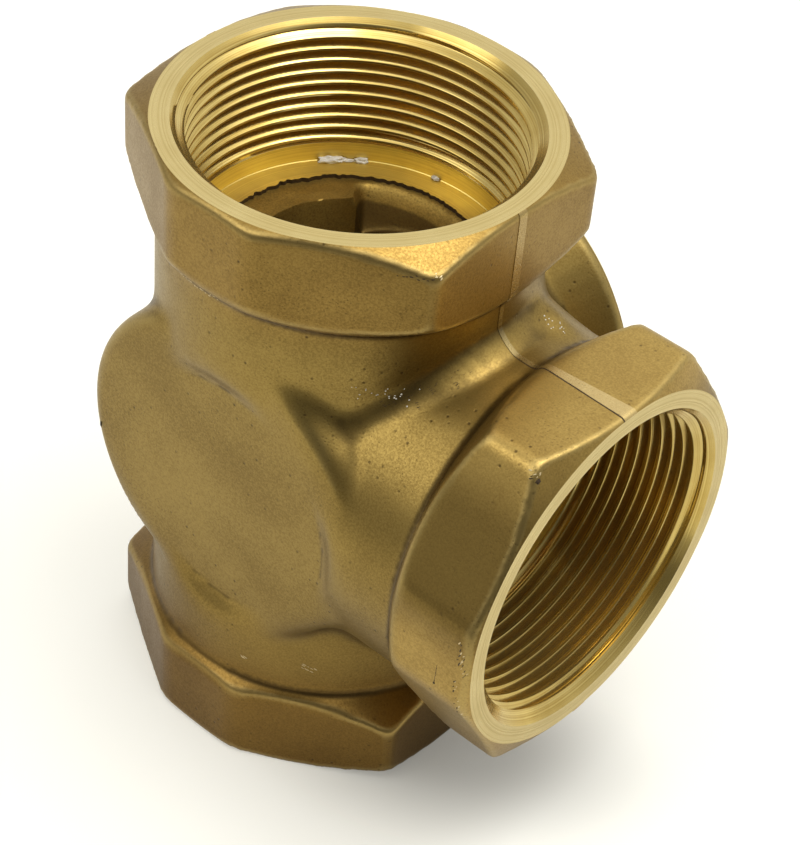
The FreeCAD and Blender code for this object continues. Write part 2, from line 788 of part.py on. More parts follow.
def bonnet():
    """The plate on the flange, its spigot in the chamber and its hub round the spindle."""
    body = new_body("bonnet")
    chamber = size.chamber_diameter / 2
    shaft = size.spindle_diameter / 2
    spigot = chamber - size.spigot_gap
    spigot_floor = chamber - size.seal_cord - size.seal_gap * 2
    land = shaft + size.land_gap
    land_floor = shaft + size.spindle_cord + size.seal_gap * 2
    bush = shaft + size.spindle_bush_wall
    bush_end = ceiling() + size.spindle_bush_length
    plate = size.bonnet_diameter / 2
    top = size.flange_reach + size.bonnet_thickness
    seat = shaft + size.seal_gap + size.dust_ring_wall + size.small_gap
    seat_floor = size.bonnet_reach - size.dust_seat_depth
    spigot_end = disc_outer() + size.spigot_clearance
    outer_groove = groove_places(land, land_floor, size.spindle_cord, size.outer_ring_reach)
    inner_groove = groove_places(land, land_floor, size.spindle_cord, size.inner_ring_reach)

    section = new_sketch(body, "bonnet_section")
    add_outline(section, [
        (size.spigot_bore / 2, spigot_end),
        (spigot, spigot_end),
        *groove_places(spigot, spigot_floor, size.seal_cord, size.seal_reach),
        (spigot, size.flange_reach),
        (plate, size.flange_reach),
        (plate, top - size.bonnet_bevel),
        (plate - size.bonnet_bevel, top),
        (size.bonnet_hub_diameter / 2 + size.bonnet_hub_spread, top),
        (size.bonnet_hub_diameter / 2, size.bonnet_reach),
        (seat, size.bonnet_reach),
        (seat, seat_floor),
        (land, seat_floor),
        *reversed(outer_groove),
        *reversed(inner_groove),
        (land, bush_end),
        (bush, bush_end),
        (bush, ceiling()),
        (size.spigot_bore / 2, ceiling()),
    ])
    turn_feature(body, "Revolution", "bonnet_turned", section)

    pin_seat = facing(spigot_end, "stop_pin_hole_circle", body)
    add_circle(pin_seat, size.stop_pin_diameter, stop_pin_centre())
    push_feature(body, "Pocket", "stop_pin_hole", pin_seat, size.stop_pin_seat, backwards=True)

    reach = size.screw_circle / 2
    angle = SCREW_ANGLES[0]
    mouth = size.screw_head / 2 + size.screw_sink
    hole = size.screw_diameter / 2 + size.screw_hole_play
    screw = new_sketch(body, "countersink_section",
                       (reach * trig("cos", angle), 0, reach * trig("sin", angle)))
    add_outline(screw, [
        (0, top),
        (mouth, top),
        (hole, top - mouth + hole),
        (hole, size.flange_reach),
        (0, size.flange_reach),
    ])
    cut = turn_feature(body, "Groove", "countersunk_hole", screw)
    repeat_round(body, "countersunk_holes", cut, section, "V_Axis")
    on_spindle_axis(body)
    return body


def stop_pin_centre():
    """The stop pin's place on a sketch square to the spindle axis, opposite the shutter."""
    return (-size.slot_reach * trig("cos", size.rest_turn),
            -size.slot_reach * trig("sin", size.rest_turn))


def stop_pin():
    body = new_body("stop_pin")
    start = disc_outer() + size.spigot_clearance + size.stop_pin_seat
    sketch = facing(start, "stop_pin_circle", body)
    add_circle(sketch, size.stop_pin_diameter, stop_pin_centre())
    push_feature(body, "Pad", "stop_pin_rod", sketch, size.stop_pin_length, backwards=True)
    on_spindle_axis(body)
    return body


def bonnet_screw(number, angle):
    """A countersunk socket screw of the bonnet, placed by its angle about the spindle axis."""
    body = new_body(f"bonnet_screw_{number}")
    radius = size.screw_diameter / 2
    head = size.screw_head / 2
    top = size.flange_reach + size.bonnet_thickness - size.screw_sink
    section = new_sketch(body, f"screw_section_{number}")
    add_outline(section, [
        (0, top),
        (head, top),
        (radius, top - head + radius),
        (radius, top - size.screw_length),
        (0, top - size.screw_length),
    ])
    turn_feature(body, "Revolution", f"screw_turned_{number}", section)

    socket = facing(top, f"socket_outline_{number}", body)
    corner = size.screw_socket / 2 / trig("cos", 30)
    add_outline(socket, [(corner * trig("cos", step), corner * trig("sin", step))
                         for step in range(30, 390, 60)])
    push_feature(body, "Pocket", f"socket_{number}", socket, size.socket_depth)

    reach = size.screw_circle / 2
    bind(body, "Placement.Base.x", reach * trig("cos", angle))
    bind(body, "Placement.Base.z", size.port_reach + reach * trig("sin", angle))
    doc.recompute()
    return body


# Build, check and write every piece

def check_states():
    for item in doc.Objects:
        if "Invalid" in item.State or "Error" in item.State:
            raise RuntimeError("not computed: " + item.Label)


def check_shapes(pieces):
    for piece in pieces:
        if piece.Shape.isNull() or not piece.Shape.isValid():
            raise RuntimeError("no valid solid: " + piece.Label)


def main():
    pieces = [
        valve_body(),
        rotor(),
        spindle(),
        drive_pin(),
        retaining_ring(),
        rear_bush(),
        rear_thrust_washer(),
        front_thrust_washer(),
        spindle_bush(),
        bonnet_o_ring(),
        *spindle_o_rings(),
        dust_ring(),
        slip_washer(),
        bonnet(),
        stop_pin(),
        *(bonnet_screw(number, angle) for number, angle in enumerate(SCREW_ANGLES, start=1)),
    ]
    doc.recompute()
    check_states()
    check_shapes(pieces)
    os.makedirs("parts", exist_ok=True)
    for piece in pieces:
        piece.Shape.exportStep(f"parts/{piece.Label}.step")


main()
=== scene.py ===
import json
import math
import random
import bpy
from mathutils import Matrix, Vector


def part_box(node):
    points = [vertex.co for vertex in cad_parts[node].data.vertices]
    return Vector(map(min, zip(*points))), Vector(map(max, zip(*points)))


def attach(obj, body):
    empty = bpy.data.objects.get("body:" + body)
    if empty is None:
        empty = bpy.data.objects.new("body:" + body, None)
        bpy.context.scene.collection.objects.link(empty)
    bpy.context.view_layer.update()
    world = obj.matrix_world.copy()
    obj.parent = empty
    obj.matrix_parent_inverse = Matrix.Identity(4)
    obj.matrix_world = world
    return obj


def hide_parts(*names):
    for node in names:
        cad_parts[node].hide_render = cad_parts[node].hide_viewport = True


bl_info = {
    "name": "Rotary mixing valve",
    "version": (1, 0, 0),
    "blender": (4, 5, 0),
    "location": "3D View > Sidebar > Valve",
    "description": "Builds the casting, threads, finishes and stage of a rotary mixing valve",
    "category": "Add Mesh",
}

import bmesh
import bpy
from bpy.props import FloatProperty, FloatVectorProperty, IntProperty, PointerProperty
from mathutils import Matrix, Vector, noise
from mathutils.bvhtree import BVHTree

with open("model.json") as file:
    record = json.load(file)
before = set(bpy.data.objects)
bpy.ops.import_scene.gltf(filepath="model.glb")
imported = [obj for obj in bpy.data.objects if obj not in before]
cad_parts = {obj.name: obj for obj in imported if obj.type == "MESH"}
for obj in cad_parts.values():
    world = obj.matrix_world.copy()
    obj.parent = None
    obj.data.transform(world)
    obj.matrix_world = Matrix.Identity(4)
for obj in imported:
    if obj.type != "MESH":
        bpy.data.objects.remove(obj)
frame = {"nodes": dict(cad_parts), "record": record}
NODES = frame["nodes"]
MOUNTS = {mount["name"]: mount for mount in frame["record"]["mounts"]}
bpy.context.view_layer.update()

# Sizes of the casting, in metres. The origin is the centre of the lower port's face, +Z runs up
# to the upper port, +X out of the side port and +Y along the spindle.
MM = 0.001
TINY = 0.01 * MM
WELD = TINY / 10
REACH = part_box("valve_body")[1].z / 2
FLANGE_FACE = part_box("valve_body")[1].y

# The ports, from the mouth down to the throat
MOUTH_RADIUS = 30.7 * MM
THREAD_ROOT = MOUNTS["upper_port"]["dims"]["r_mm"] * MM
THREAD_CREST = 28.328 * MM
THREAD_PITCH = 25.4 / 11 * MM
THREAD_END = 24.5 * MM
LEDGE_DEPTH = 28.2 * MM
LEDGE_RADIUS = 23.7 * MM
FLOOR_LEVEL = -LEDGE_DEPTH - 0.75 * MM
SLOPE_DEPTH = 8.0 * MM
THROAT_RADIUS = 17.6 * MM

# The chamber and the screw holes, which open in the flange
CHAMBER_RADIUS = 25.7 * MM
CHAMBER_MOUTH = 26.35 * MM
CHAMBER_BACK = -29.0 * MM
ROTOR_ROOM = 0.05 * MM
SCREW_CIRCLE = 29.1 * MM
SCREW_HOLE = 2.2 * MM
SCREW_DEPTH = SCREW_HOLE * 4

# The outside of the forging: hexagon heads, necks, barrel and the flat in its back
RING_RADIUS = 34.15 * MM
BEVEL_SLOPE = math.radians(28)
NECK_RADIUS = 33.0 * MM
HEAD_LENGTH = 17.6 * MM
NECK_END = REACH - HEAD_LENGTH
WEB_SLOPE = 0.42
BARREL_RADIUS = 31.5 * MM
RIM_ROUNDING = 3.2 * MM
RIM_START = 31.0 * MM - RIM_ROUNDING
PAD_RADIUS = 25.3 * MM
PAD_CENTRE = Vector((1.2 * MM, REACH - 2.3 * MM))
CORNER_FILLET = 2.6 * MM
FLANGE_SIDE = 12 * MM

# Where the forging's tone changes: towards the heads, on the lower and the side head, and away
# from the height that is dull on the side head
HEAD_FADE = (NECK_END - 8 * MM, NECK_END + 3 * MM)
FOOT_FADE = (12 * MM, 45 * MM)
SIDE_FADE = (41 * MM, 46 * MM)
DULL_HEIGHT = 76 * MM
DULL_FADE = (7 * MM, 17 * MM)

# The floor's colour, the way to the camera along it, and the room's light. Each lobe of light
# has its strength, its direction, and the cosines where it begins and is full.
PAPER = (1, 0.985, 0.9)
TO_CAMERA = (0.6, -0.8)
LOBES = {
    "above": (1.3, (0.25, 0.09, 0.96), 0.72, 0.98),
    "behind": (0.46, (-0.25, 0.85, 0.45), 0.0, 0.9),
    "overhead": (0.2, (0.0, 0.0, 1.0), 0.35, 0.9),
    "window": (1.75, (-0.35, -0.68, 0.64), 0.89, 0.975),
}

# The dark side of the room, by its direction and the same cosines
DARK_FRONT = ((0.7, -0.68, -0.2), 0.45, 0.93)

SPINDLE_AXIS = Matrix.Translation((0, 0, REACH)) @ Matrix.Rotation(math.radians(-90), 4, "X")
PORTS = {
    "upper": Matrix.Translation((0, 0, REACH * 2)),
    "lower": Matrix.Rotation(math.radians(180), 4, "X"),
    "side": Matrix.Translation((REACH, 0, REACH)) @ Matrix.Rotation(math.radians(90), 4, "Y"),
}


def smooth_step(low, high, value):
    share = min(1.0, max(0.0, (value - low) / (high - low)))
    return share * share * (3 - 2 * share)


# Meshes: copies of the solids, new pieces and their place in the frame

def along(place, length=1.0):
    """A vector along the place's Z axis."""
    return place.to_3x3() @ Vector((0, 0, length))


def raised(place, height):
    """The place moved along its own Z axis."""
    return place @ Matrix.Translation((0, 0, height))


def whole(shape):
    return shape.verts[:] + shape.edges[:] + shape.faces[:]


def moved(shape, place):
    """The shape, moved from the origin to a place."""
    bmesh.ops.transform(shape, matrix=place, verts=shape.verts)
    return shape


def keep_faces(shape, wanted):
    """Delete the faces whose middle isn't wanted."""
    others = [face for face in shape.faces if not wanted(face.calc_center_median())]
    bmesh.ops.delete(shape, geom=others, context="FACES")


def solid_copy(node):
    """A bmesh of a solid's facets, welded along their edges."""
    shape = bmesh.new()
    shape.from_mesh(NODES[node].data)
    bmesh.ops.remove_doubles(shape, verts=shape.verts, dist=WELD)
    return shape


def cut(shape, place, height=0.0, keep_inner=True, keep_outer=False):
    """Cut the shape across the place's Z axis at a height and keep the wanted sides."""
    bmesh.ops.bisect_plane(
        shape, geom=whole(shape), dist=WELD, plane_co=place @ Vector((0, 0, height)),
        plane_no=along(place), clear_outer=not keep_outer, clear_inner=not keep_inner)


def profile_line(profile):
    """An open line through (radius, height) points, to be turned about Z."""
    shape = bmesh.new()
    corners = [shape.verts.new((radius, 0, height)) for radius, height in profile]
    for first, second in zip(corners, corners[1:]):
        shape.edges.new((first, second))
    return shape


def spun(profile, segments):
    """A skin turned about Z from (radius, height) points."""
    shape = profile_line(profile)
    bmesh.ops.spin(shape, geom=whole(shape), cent=(0, 0, 0), axis=(0, 0, 1),
                   angle=math.tau, steps=segments, use_merge=True)
    bmesh.ops.remove_doubles(shape, verts=shape.verts, dist=WELD)
    return shape


def set_radius(vert, radius):
    scale = radius / math.hypot(vert.co.x, vert.co.y)
    vert.co.x *= scale
    vert.co.y *= scale


def joined(shapes):
    """Several shapes in one bmesh."""
    result = bmesh.new()
    for shape in shapes:
        part = bpy.data.meshes.new("part")
        shape.to_mesh(part)
        shape.free()
        result.from_mesh(part)
        bpy.data.meshes.remove(part)
    return result


def add_object(name, shape):
    mesh = bpy.data.meshes.new(name)
    shape.to_mesh(mesh)
    shape.free()
    piece = bpy.data.objects.new(name, mesh)
    bpy.context.scene.collection.objects.link(piece)
    return piece


def add_piece(name, shape, material, body="casing", replaces=(), crease=32):
    """A finished piece of the valve, smooth but for edges sharper than the crease angle."""
    piece = add_object(name, shape)
    normals_of_solid = piece.data.attributes.get("custom_normal")
    if normals_of_solid:
        piece.data.attributes.remove(normals_of_solid)
    piece.data.shade_smooth()
    piece.data.set_sharp_from_angle(angle=math.radians(crease))
    piece.data.materials.append(material)
    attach(piece, body)
    if replaces:
        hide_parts(*replaces)
    return piece


def even_skin(shape, voxel, passes):
    """The closed shape as an even skin, its edges rounded by smoothing."""
    draft = add_object("draft", shape)
    remesh = draft.modifiers.new("even", "REMESH")
    remesh.mode = "VOXEL"
    remesh.voxel_size = voxel
    smooth = draft.modifiers.new("soft", "SMOOTH")
    smooth.factor = 0.5
    smooth.iterations = passes
    graph = bpy.context.evaluated_depsgraph_get()
    skin = bmesh.new()
    skin.from_object(draft, graph)
    bpy.data.objects.remove(draft)
    return skin


# Shader nodes

class Tree:
    """Short ways to add and link the nodes of a material or a node group."""

    def __init__(self, tree):
        self.tree = tree
        self.tree.nodes.clear()

    @staticmethod
    def find(sockets, name):
        wanted = name.replace("_", " ").lower()
        for socket in sockets:
            if socket.enabled and socket.name.lower() == wanted:
                return socket
        raise KeyError(name)

    def feed(self, socket, value):
        """Link a value to a socket, or fill it in."""
        if isinstance(value, bpy.types.NodeSocket):
            self.tree.links.new(value, socket)
        else:
            socket.default_value = value

    def wire(self, node, **inputs):
        """Link or fill the inputs of a node."""
        for name, value in inputs.items():
            self.feed(self.find(node.inputs, name), value)

    def node(self, kind, settings=None, **inputs):
        """Add a node, set its properties, and link or fill its inputs."""
        node = self.tree.nodes.new(kind)
        for name, value in (settings or {}).items():
            setattr(node, name, value)
        self.wire(node, **inputs)
        return node

    def maths(self, operation, *values):
        node = self.tree.nodes.new("ShaderNodeMath")
        node.operation = operation
        for socket, value in zip(node.inputs, values):
            self.feed(socket, value)
        return node.outputs[0]

    def times(self, *values):
        return self.maths("MULTIPLY", *values)

    def total(self, *terms):
        """The sum of (value, weight) terms."""
        total = 0.0
        for value, weight in terms:
            total = self.maths("MULTIPLY_ADD", value, weight, total)
        return total

    def without(self, value, weight=1.0):
        """One, less the weighted value."""
        return self.maths("MULTIPLY_ADD", value, -weight, 1.0)

    def distance(self, value, centre):
        """How far a value is from a centre, either way."""
        return self.maths("ABSOLUTE", self.maths("SUBTRACT", value, centre))

    def ramp(self, value, low, high, out_low=0.0, out_high=1.0):
        """Map a value smoothly from one range to another."""
        return self.node("ShaderNodeMapRange", {"interpolation_type": "SMOOTHSTEP"}, Value=value,
                         From_Min=low, From_Max=high, To_Min=out_low, To_Max=out_high).outputs[0]

    def mix(self, factor, first, second, blend="MIX"):
        """Mix two colours."""
        node = self.node("ShaderNodeMix", {"data_type": "RGBA", "blend_type": blend},
                         Factor=factor, A=first, B=second)
        return self.find(node.outputs, "Result")

    def noise(self, vector, scale, detail=3.0, roughness=0.55):
        """Noise whose grains are about one divided by scale, in metres."""
        return self.node("ShaderNodeTexNoise", Vector=vector, Scale=scale, Detail=detail,
                         Roughness=roughness).outputs[0]

    def row_noise(self, row, detail):
        """Noise along one line, with grains about one row wide."""
        return self.node("ShaderNodeTexNoise", {"noise_dimensions": "1D"}, W=row, Scale=1.0,
                         Detail=detail).outputs[0]

    def spots(self, vector, scale, low, high, strength):
        """Round spots of a strength, about one divided by scale apart, in metres."""
        cells = self.node("ShaderNodeTexVoronoi", {"feature": "F1"}, Vector=vector, Scale=scale,
                          Randomness=1.0)
        return self.ramp(cells.outputs["Distance"], low, high, strength, 0.0)

    def axes(self, vector):
        return self.node("ShaderNodeSeparateXYZ", Vector=vector).outputs

    def bump(self, height, strength, distance):
        return self.node("ShaderNodeBump", Strength=strength, Distance=distance,
                         Height=height).outputs[0]


def start_group(name, **inputs):
    """A new shader node group, with the kind of each of its inputs."""
    tree = bpy.data.node_groups.new(name, "ShaderNodeTree")
    for label, kind in inputs.items():
        tree.interface.new_socket(label, in_out="INPUT", socket_type="NodeSocket" + kind)
    nodes = Tree(tree)
    return nodes, nodes.node("NodeGroupInput").outputs


def end_group(nodes, **outputs):
    """Give the group its outputs, which are plain numbers."""
    for label in outputs:
        nodes.tree.interface.new_socket(label, in_out="OUTPUT", socket_type="NodeSocketFloat")
    nodes.node("NodeGroupOutput", **outputs)
    return nodes.tree


def use_group(nodes, name, maker, **inputs):
    """The outputs of a node group, which is made when it is first wanted."""
    tree = bpy.data.node_groups.get(name) or maker(name)
    return nodes.node("ShaderNodeGroup", {"node_tree": tree}, **inputs).outputs


def forged_skin_group(name):
    """Mottling, fine pits and soft unevenness of forged metal, and where its tone changes."""
    nodes, given = start_group(name, Vector="Vector")
    vector = given["Vector"]
    specks = nodes.noise(vector, 2600.0, 3.0, 0.7)
    broad = nodes.ramp(nodes.noise(vector, 38.0, 4.0, 0.6), 0.32, 0.7)
    mottle = nodes.total((broad, 0.45), (nodes.ramp(specks, 0.3, 0.7), 0.55))
    dots = nodes.times(nodes.spots(vector, 520.0, 0.04, 0.2, 1.0),
                       nodes.ramp(nodes.noise(vector, 90.0), 0.48, 0.62))
    dirt = nodes.times(nodes.spots(vector, 1500.0, 0.05, 0.32, 0.55),
                       nodes.ramp(nodes.noise(vector, 60.0), 0.4, 0.65, 0.25, 1.0))
    pits = nodes.maths("MAXIMUM", dots, dirt)
    waves = nodes.noise(vector, 150.0, 3.0, 0.5)
    height = nodes.total((waves, 0.8), (specks, 0.35), (pits, -0.8))
    x, _, z = nodes.axes(vector)
    return end_group(
        nodes, Mottle=mottle, Pits=pits, Height=height,
        Head=nodes.ramp(nodes.distance(z, REACH), *HEAD_FADE),
        Foot=nodes.ramp(z, *FOOT_FADE, 1.0, 0.0),
        Side=nodes.ramp(x, *SIDE_FADE),
        Handled=nodes.ramp(nodes.distance(z, DULL_HEIGHT), *DULL_FADE))


def turning_marks_group(name):
    """Fine rings round the Z axis of its vector, as a tool leaves them on a lathe."""
    nodes, given = start_group(name, Vector="Vector", Spacing="Float")
    x, y, z = nodes.axes(given["Vector"])
    radius = nodes.maths("SQRT", nodes.total((x, x), (y, y)))
    row = nodes.maths("DIVIDE", nodes.maths("ADD", radius, z), given["Spacing"])
    fine = nodes.row_noise(row, 3.0)
    broad = nodes.row_noise(nodes.times(row, 0.14), 2.0)
    patches = nodes.noise(given["Vector"], 120.0)
    return end_group(nodes, Height=fine, Tone=nodes.total(
        (fine, 0.4), (broad, 0.35), (patches, 0.25)))


def new_material(name):
    material = bpy.data.materials.new(name)
    material.use_nodes = True
    nodes = Tree(material.node_tree)
    shader = nodes.node("ShaderNodeBsdfPrincipled")
    nodes.node("ShaderNodeOutputMaterial", Surface=shader.outputs[0])
    place = nodes.node("ShaderNodeTexCoord").outputs["Object"]
    return material, nodes, shader, place


def colour(shade):
    return (*shade, 1.0)


def brass_tones(kind):
    """The dark and the light tone of a kind of brass, from the settings."""
    looks = bpy.context.scene.valve_looks
    return [colour(getattr(looks, f"{kind}_{side}")) for side in ("dark", "light")]


def forged_brass(name, kind, roughness):
    """Brass as the forging dies leave it, mottled and finely pitted."""
    looks = bpy.context.scene.valve_looks
    material, nodes, shader, place = new_material(name)
    skin = use_group(nodes, "Forged skin", forged_skin_group, Vector=place)
    tone = nodes.mix(skin["Mottle"], *brass_tones(kind))
    tone = nodes.mix(skin["Head"], tone, colour(looks.head_tint), "MULTIPLY")
    tone = nodes.mix(skin["Foot"], tone, colour(looks.foot_tint), "MULTIPLY")
    side = nodes.mix(skin["Handled"], colour(looks.side_dark), colour(looks.side_tint))
    tone = nodes.mix(skin["Side"], tone, side, "MULTIPLY")
    bend = nodes.node("ShaderNodeAttribute", {"attribute_name": "bend"}).outputs["Fac"]
    worn = nodes.ramp(bend, 0.15, 0.6, 0.0, 0.4)
    # Where the skin bends inwards the dark pit tone is mixed in: painted shade in creases and
    # hollows, on top of the real pits.
    crease = nodes.ramp(bend, -0.12, -0.5, 0.0, 0.7)
    pits_and_crease_shade = nodes.maths("MAXIMUM", crease, nodes.times(skin["Pits"], 0.75))
    tone = nodes.mix(worn, tone, colour(looks.worn_colour))
    tone = nodes.mix(pits_and_crease_shade, tone, colour(looks.pit_and_shade_colour))
    rough = nodes.ramp(skin["Mottle"], 0.2, 0.8, roughness + 0.05, roughness - 0.05)
    nodes.wire(shader, Base_Color=tone, Metallic=0.93, Roughness=rough,
               Normal=nodes.bump(skin["Height"], 0.38, 0.1 * MM))
    return material


def turned_brass(name, axis, kind, spacing=0.4 * MM, roughness=0.3):
    """Cut brass with turning marks round the Z axis of a place."""
    material, nodes, shader, place = new_material(name)
    inverse = axis.inverted()
    turned = nodes.node("ShaderNodeMapping", {"vector_type": "POINT"}, Vector=place,
                        Location=inverse.to_translation(), Rotation=inverse.to_euler())
    rings = use_group(nodes, "Turning marks", turning_marks_group, Vector=turned.outputs[0],
                      Spacing=spacing)
    tone = nodes.ramp(rings["Tone"], 0.35, 0.65)
    nodes.wire(shader, Base_Color=nodes.mix(tone, *brass_tones(kind)), Metallic=0.9,
               Roughness=nodes.ramp(tone, 0.0, 1.0, roughness + 0.07, roughness - 0.04),
               Normal=nodes.bump(rings["Height"], 0.25, 0.03 * MM))
    return material


def plain_finish(name, shade, metallic, roughness):
    """A fine even grain for steel, plastic and rubber pieces."""
    material, nodes, shader, place = new_material(name)
    specks = nodes.noise(place, 1500.0)
    patches = nodes.noise(place, 150.0)
    tone = nodes.ramp(nodes.total((specks, 0.5), (patches, 0.5)), 0.3, 0.7)
    dark = [part * 0.78 for part in shade]
    nodes.wire(shader, Base_Color=nodes.mix(tone, colour(dark), colour(shade)), Metallic=metallic,
               Roughness=nodes.ramp(tone, 0.0, 1.0, roughness + 0.06, roughness - 0.04),
               Normal=nodes.bump(specks, 0.1, 0.02 * MM))
    return material


# The casting: a soft forging, then the cuts that machine it

def port_frame(place, point):
    """Radius from a port's axis and height above its face."""
    local = place.inverted() @ point
    return math.hypot(local.x, local.y), local.z


def is_core(point):
    """True in the rotor's chamber and the screw holes, below their own mouths."""
    radius, height = port_frame(SPINDLE_AXIS, point)
    reach = SCREW_CIRCLE * math.sqrt(0.5)
    off_screw = math.hypot(abs(point.x) - reach, abs(point.z - REACH) - reach)
    in_chamber = radius < CHAMBER_MOUTH and height > CHAMBER_BACK
    in_hole = off_screw < SCREW_HOLE and height > FLANGE_FACE - SCREW_DEPTH
    return height <= FLANGE_FACE - TINY and (in_chamber or in_hole)


def is_raw(point):
    """True outside, on what isn't a bore, a core or a flat cut face."""
    for place in PORTS.values():
        radius, height = port_frame(place, point)
        if height > -TINY or (radius < MOUTH_RADIUS + TINY and height > -REACH):
            return False
    return point.y < FLANGE_FACE - TINY and not is_core(point)


def grow_stock(shape, place, height, rise, shrink):
    """Raise an open rim beyond the face, as the forging was before its face was cut."""
    rim = [edge for edge in shape.edges if edge.is_boundary and all(
        abs(port_frame(place, vert.co)[1] - height) < TINY * 2 for vert in edge.verts)]
    grown = bmesh.ops.extrude_edge_only(shape, edges=rim)["geom"]
    verts = [item for item in grown if isinstance(item, bmesh.types.BMVert)]
    bmesh.ops.scale(shape, vec=(shrink, shrink, 1), space=place.inverted(), verts=verts)
    bmesh.ops.translate(shape, vec=along(place, rise), verts=verts)


def side_web():
    """The thicker metal of the side neck towards the run, as one closed flared collar."""
    near, far = 22.0 * MM, 43.0 * MM
    inset, flank = 0.4 * MM, 3.0 * MM
    shape = bmesh.new()
    bmesh.ops.create_cone(
        shape, cap_ends=True, segments=256, radius1=NECK_RADIUS, radius2=NECK_RADIUS,
        depth=far - near, matrix=raised(PORTS["side"], (near + far) / 2 - REACH))
    for vert in shape.verts:
        out = math.hypot(vert.co.y, vert.co.z - REACH)
        turn = math.degrees(math.acos(abs(vert.co.z - REACH) / out))
        wanted = (NECK_RADIUS - inset - flank * smooth_step(44, 66, turn)
                  + (far - vert.co.x) * WEB_SLOPE * smooth_step(50, 10, turn))
        vert.co.y *= wanted / out
        vert.co.z = REACH + (vert.co.z - REACH) * wanted / out
    return shape


def in_barrel(point):
    """True on the middle of the casting, between the hexagons and the flange."""
    end = NECK_END - 1.5 * MM
    return point.x < end and abs(point.z - REACH) < end and point.y < FLANGE_SIDE


def on_pad_lip(point):
    """True along the rounded lip of the flat that is sunk in the back."""
    out = math.hypot(point.x - PAD_CENTRE.x, point.z - PAD_CENTRE.y) - PAD_RADIUS
    return point.y < CHAMBER_BACK and -1.5 * MM < out < 4.5 * MM


def on_neck_crease(point):
    """True where a hexagon's bevel meets its neck."""
    return point.y <= FLANGE_SIDE and any(
        abs(port_frame(place, point)[1] + HEAD_LENGTH) < 2.2 * MM for place in PORTS.values())


def on_saddle(point):
    """True along the crease between the run and the side neck."""
    run = math.hypot(point.x, point.y) - NECK_RADIUS
    side = math.hypot(point.y, point.z - REACH) - NECK_RADIUS
    return (point.x > NECK_RADIUS / 3 and -1 * MM < min(run, side) and max(run, side) < 5 * MM
            and max(point.x, abs(point.z - REACH)) < NECK_END - 1 * MM)


def on_shoulder(point):
    """True on the rounded rim of the back face, in the corners between the necks."""
    up = abs(point.z - REACH)
    return (point.y < -24 * MM and point.x > 8 * MM and up > 8 * MM
            and BARREL_RADIUS - 4 * MM < math.hypot(point.x, up) < BARREL_RADIUS + 6 * MM)


def soften(skin, wanted, passes):
    verts = [vert for vert in skin.verts if wanted(vert.co)]
    for _ in range(passes):
        bmesh.ops.smooth_vert(skin, verts=verts, factor=0.5, use_axis_x=True, use_axis_y=True,
                              use_axis_z=True)


def corner_forms(x, y, up):
    """How far a point is outside the run, the side neck and the barrel's rim, and which way."""
    run, side = Vector((x, y, 0)), Vector((0, y, up))
    out = Vector((x, 0, up))
    past_rim = min(y + RIM_START, 0)
    core = BARREL_RADIUS - RIM_ROUNDING
    if out.length < core:
        rim = Vector((0, past_rim, 0))
    else:
        rim = Vector((x, past_rim, up)) - out.normalized() * core
    return [(run.length - NECK_RADIUS, run), (side.length - NECK_RADIUS, side),
            (rim.length - RIM_ROUNDING, rim)]


def tighten_corners(skin):
    """Draw the skin in to small fillets where the run, the side neck and the barrel meet."""
    start, full = 4 * MM, 9 * MM
    front = 14 * MM
    thickest = 9 * MM
    passes = 4
    for vert in skin.verts:
        if vert.co.x < start or vert.co.y > front:
            continue
        for _ in range(passes):
            x, y, up = vert.co.x, vert.co.y, vert.co.z - REACH
            if max(x, abs(up)) > NECK_END:
                break
            forms = corner_forms(x, y, up)
            depth, way = min(forms)
            if depth < TINY or depth > thickest:
                break
            leans = [max(CORNER_FILLET - gap, 0.0) for gap, _ in forms]
            lean = math.hypot(*leans)
            if lean > 0:
                depth = CORNER_FILLET - lean
                way = sum((form[1].normalized() * part for part, form in zip(leans, forms)),
                          Vector()) / lean
            else:
                way = way.normalized()
            share = (smooth_step(front, 0.0, y) * smooth_step(start, full, x)
                     * smooth_step(NECK_END, NECK_END - 2 * MM, max(x, abs(up))))
            vert.co -= way * depth * share


def store_bend(skin):
    """Keep how much the skin bends at each vertex, more than 0 on edges and less in creases."""
    bend = skin.verts.layers.float.new("bend")
    typical_radius = 5 * MM
    skin.normal_update()
    for vert in skin.verts:
        edges = vert.link_edges
        if any(edge.is_boundary for edge in edges):
            continue
        ways = [edge.other_vert(vert).co - vert.co for edge in edges]
        spread = sum(way.length_squared for way in ways)
        vert[bend] = -sum(way.dot(vert.normal) for way in ways) / spread * typical_radius
    for _ in range(2):
        means = [sum(edge.other_vert(vert)[bend] for edge in vert.link_edges)
                 / len(vert.link_edges) for vert in skin.verts]
        for vert, mean in zip(skin.verts, means):
            vert[bend] = (vert[bend] + mean) / 2


def forging():
    """The raw forging as one soft closed skin, cut flat at its machined faces."""
    sizes = bpy.context.scene.valve_sizes
    shape = solid_copy("valve_body")
    keep_faces(shape, is_raw)
    shrink = 0.82
    rise = RING_RADIUS * (1 - shrink) * math.tan(BEVEL_SLOPE)
    for place in PORTS.values():
        grow_stock(shape, place, 0.0, rise, shrink)
    grow_stock(shape, SPINDLE_AXIS, FLANGE_FACE, rise, 1.0)
    bmesh.ops.holes_fill(shape, edges=shape.edges[:], sides=0)
    bmesh.ops.triangulate(shape, faces=[face for face in shape.faces if len(face.verts) > 4])
    skin = even_skin(joined([shape, side_web()]), sizes.voxel, sizes.softness)
    tighten_corners(skin)
    for wanted in (on_saddle, on_shoulder, in_barrel):
        soften(skin, wanted, sizes.barrel_softness)
    soften(skin, on_pad_lip, sizes.lip_softness)
    soften(skin, on_neck_crease, sizes.crease_softness)
    for place in PORTS.values():
        cut(skin, place)
    cut(skin, SPINDLE_AXIS, FLANGE_FACE)
    store_bend(skin)
    return skin


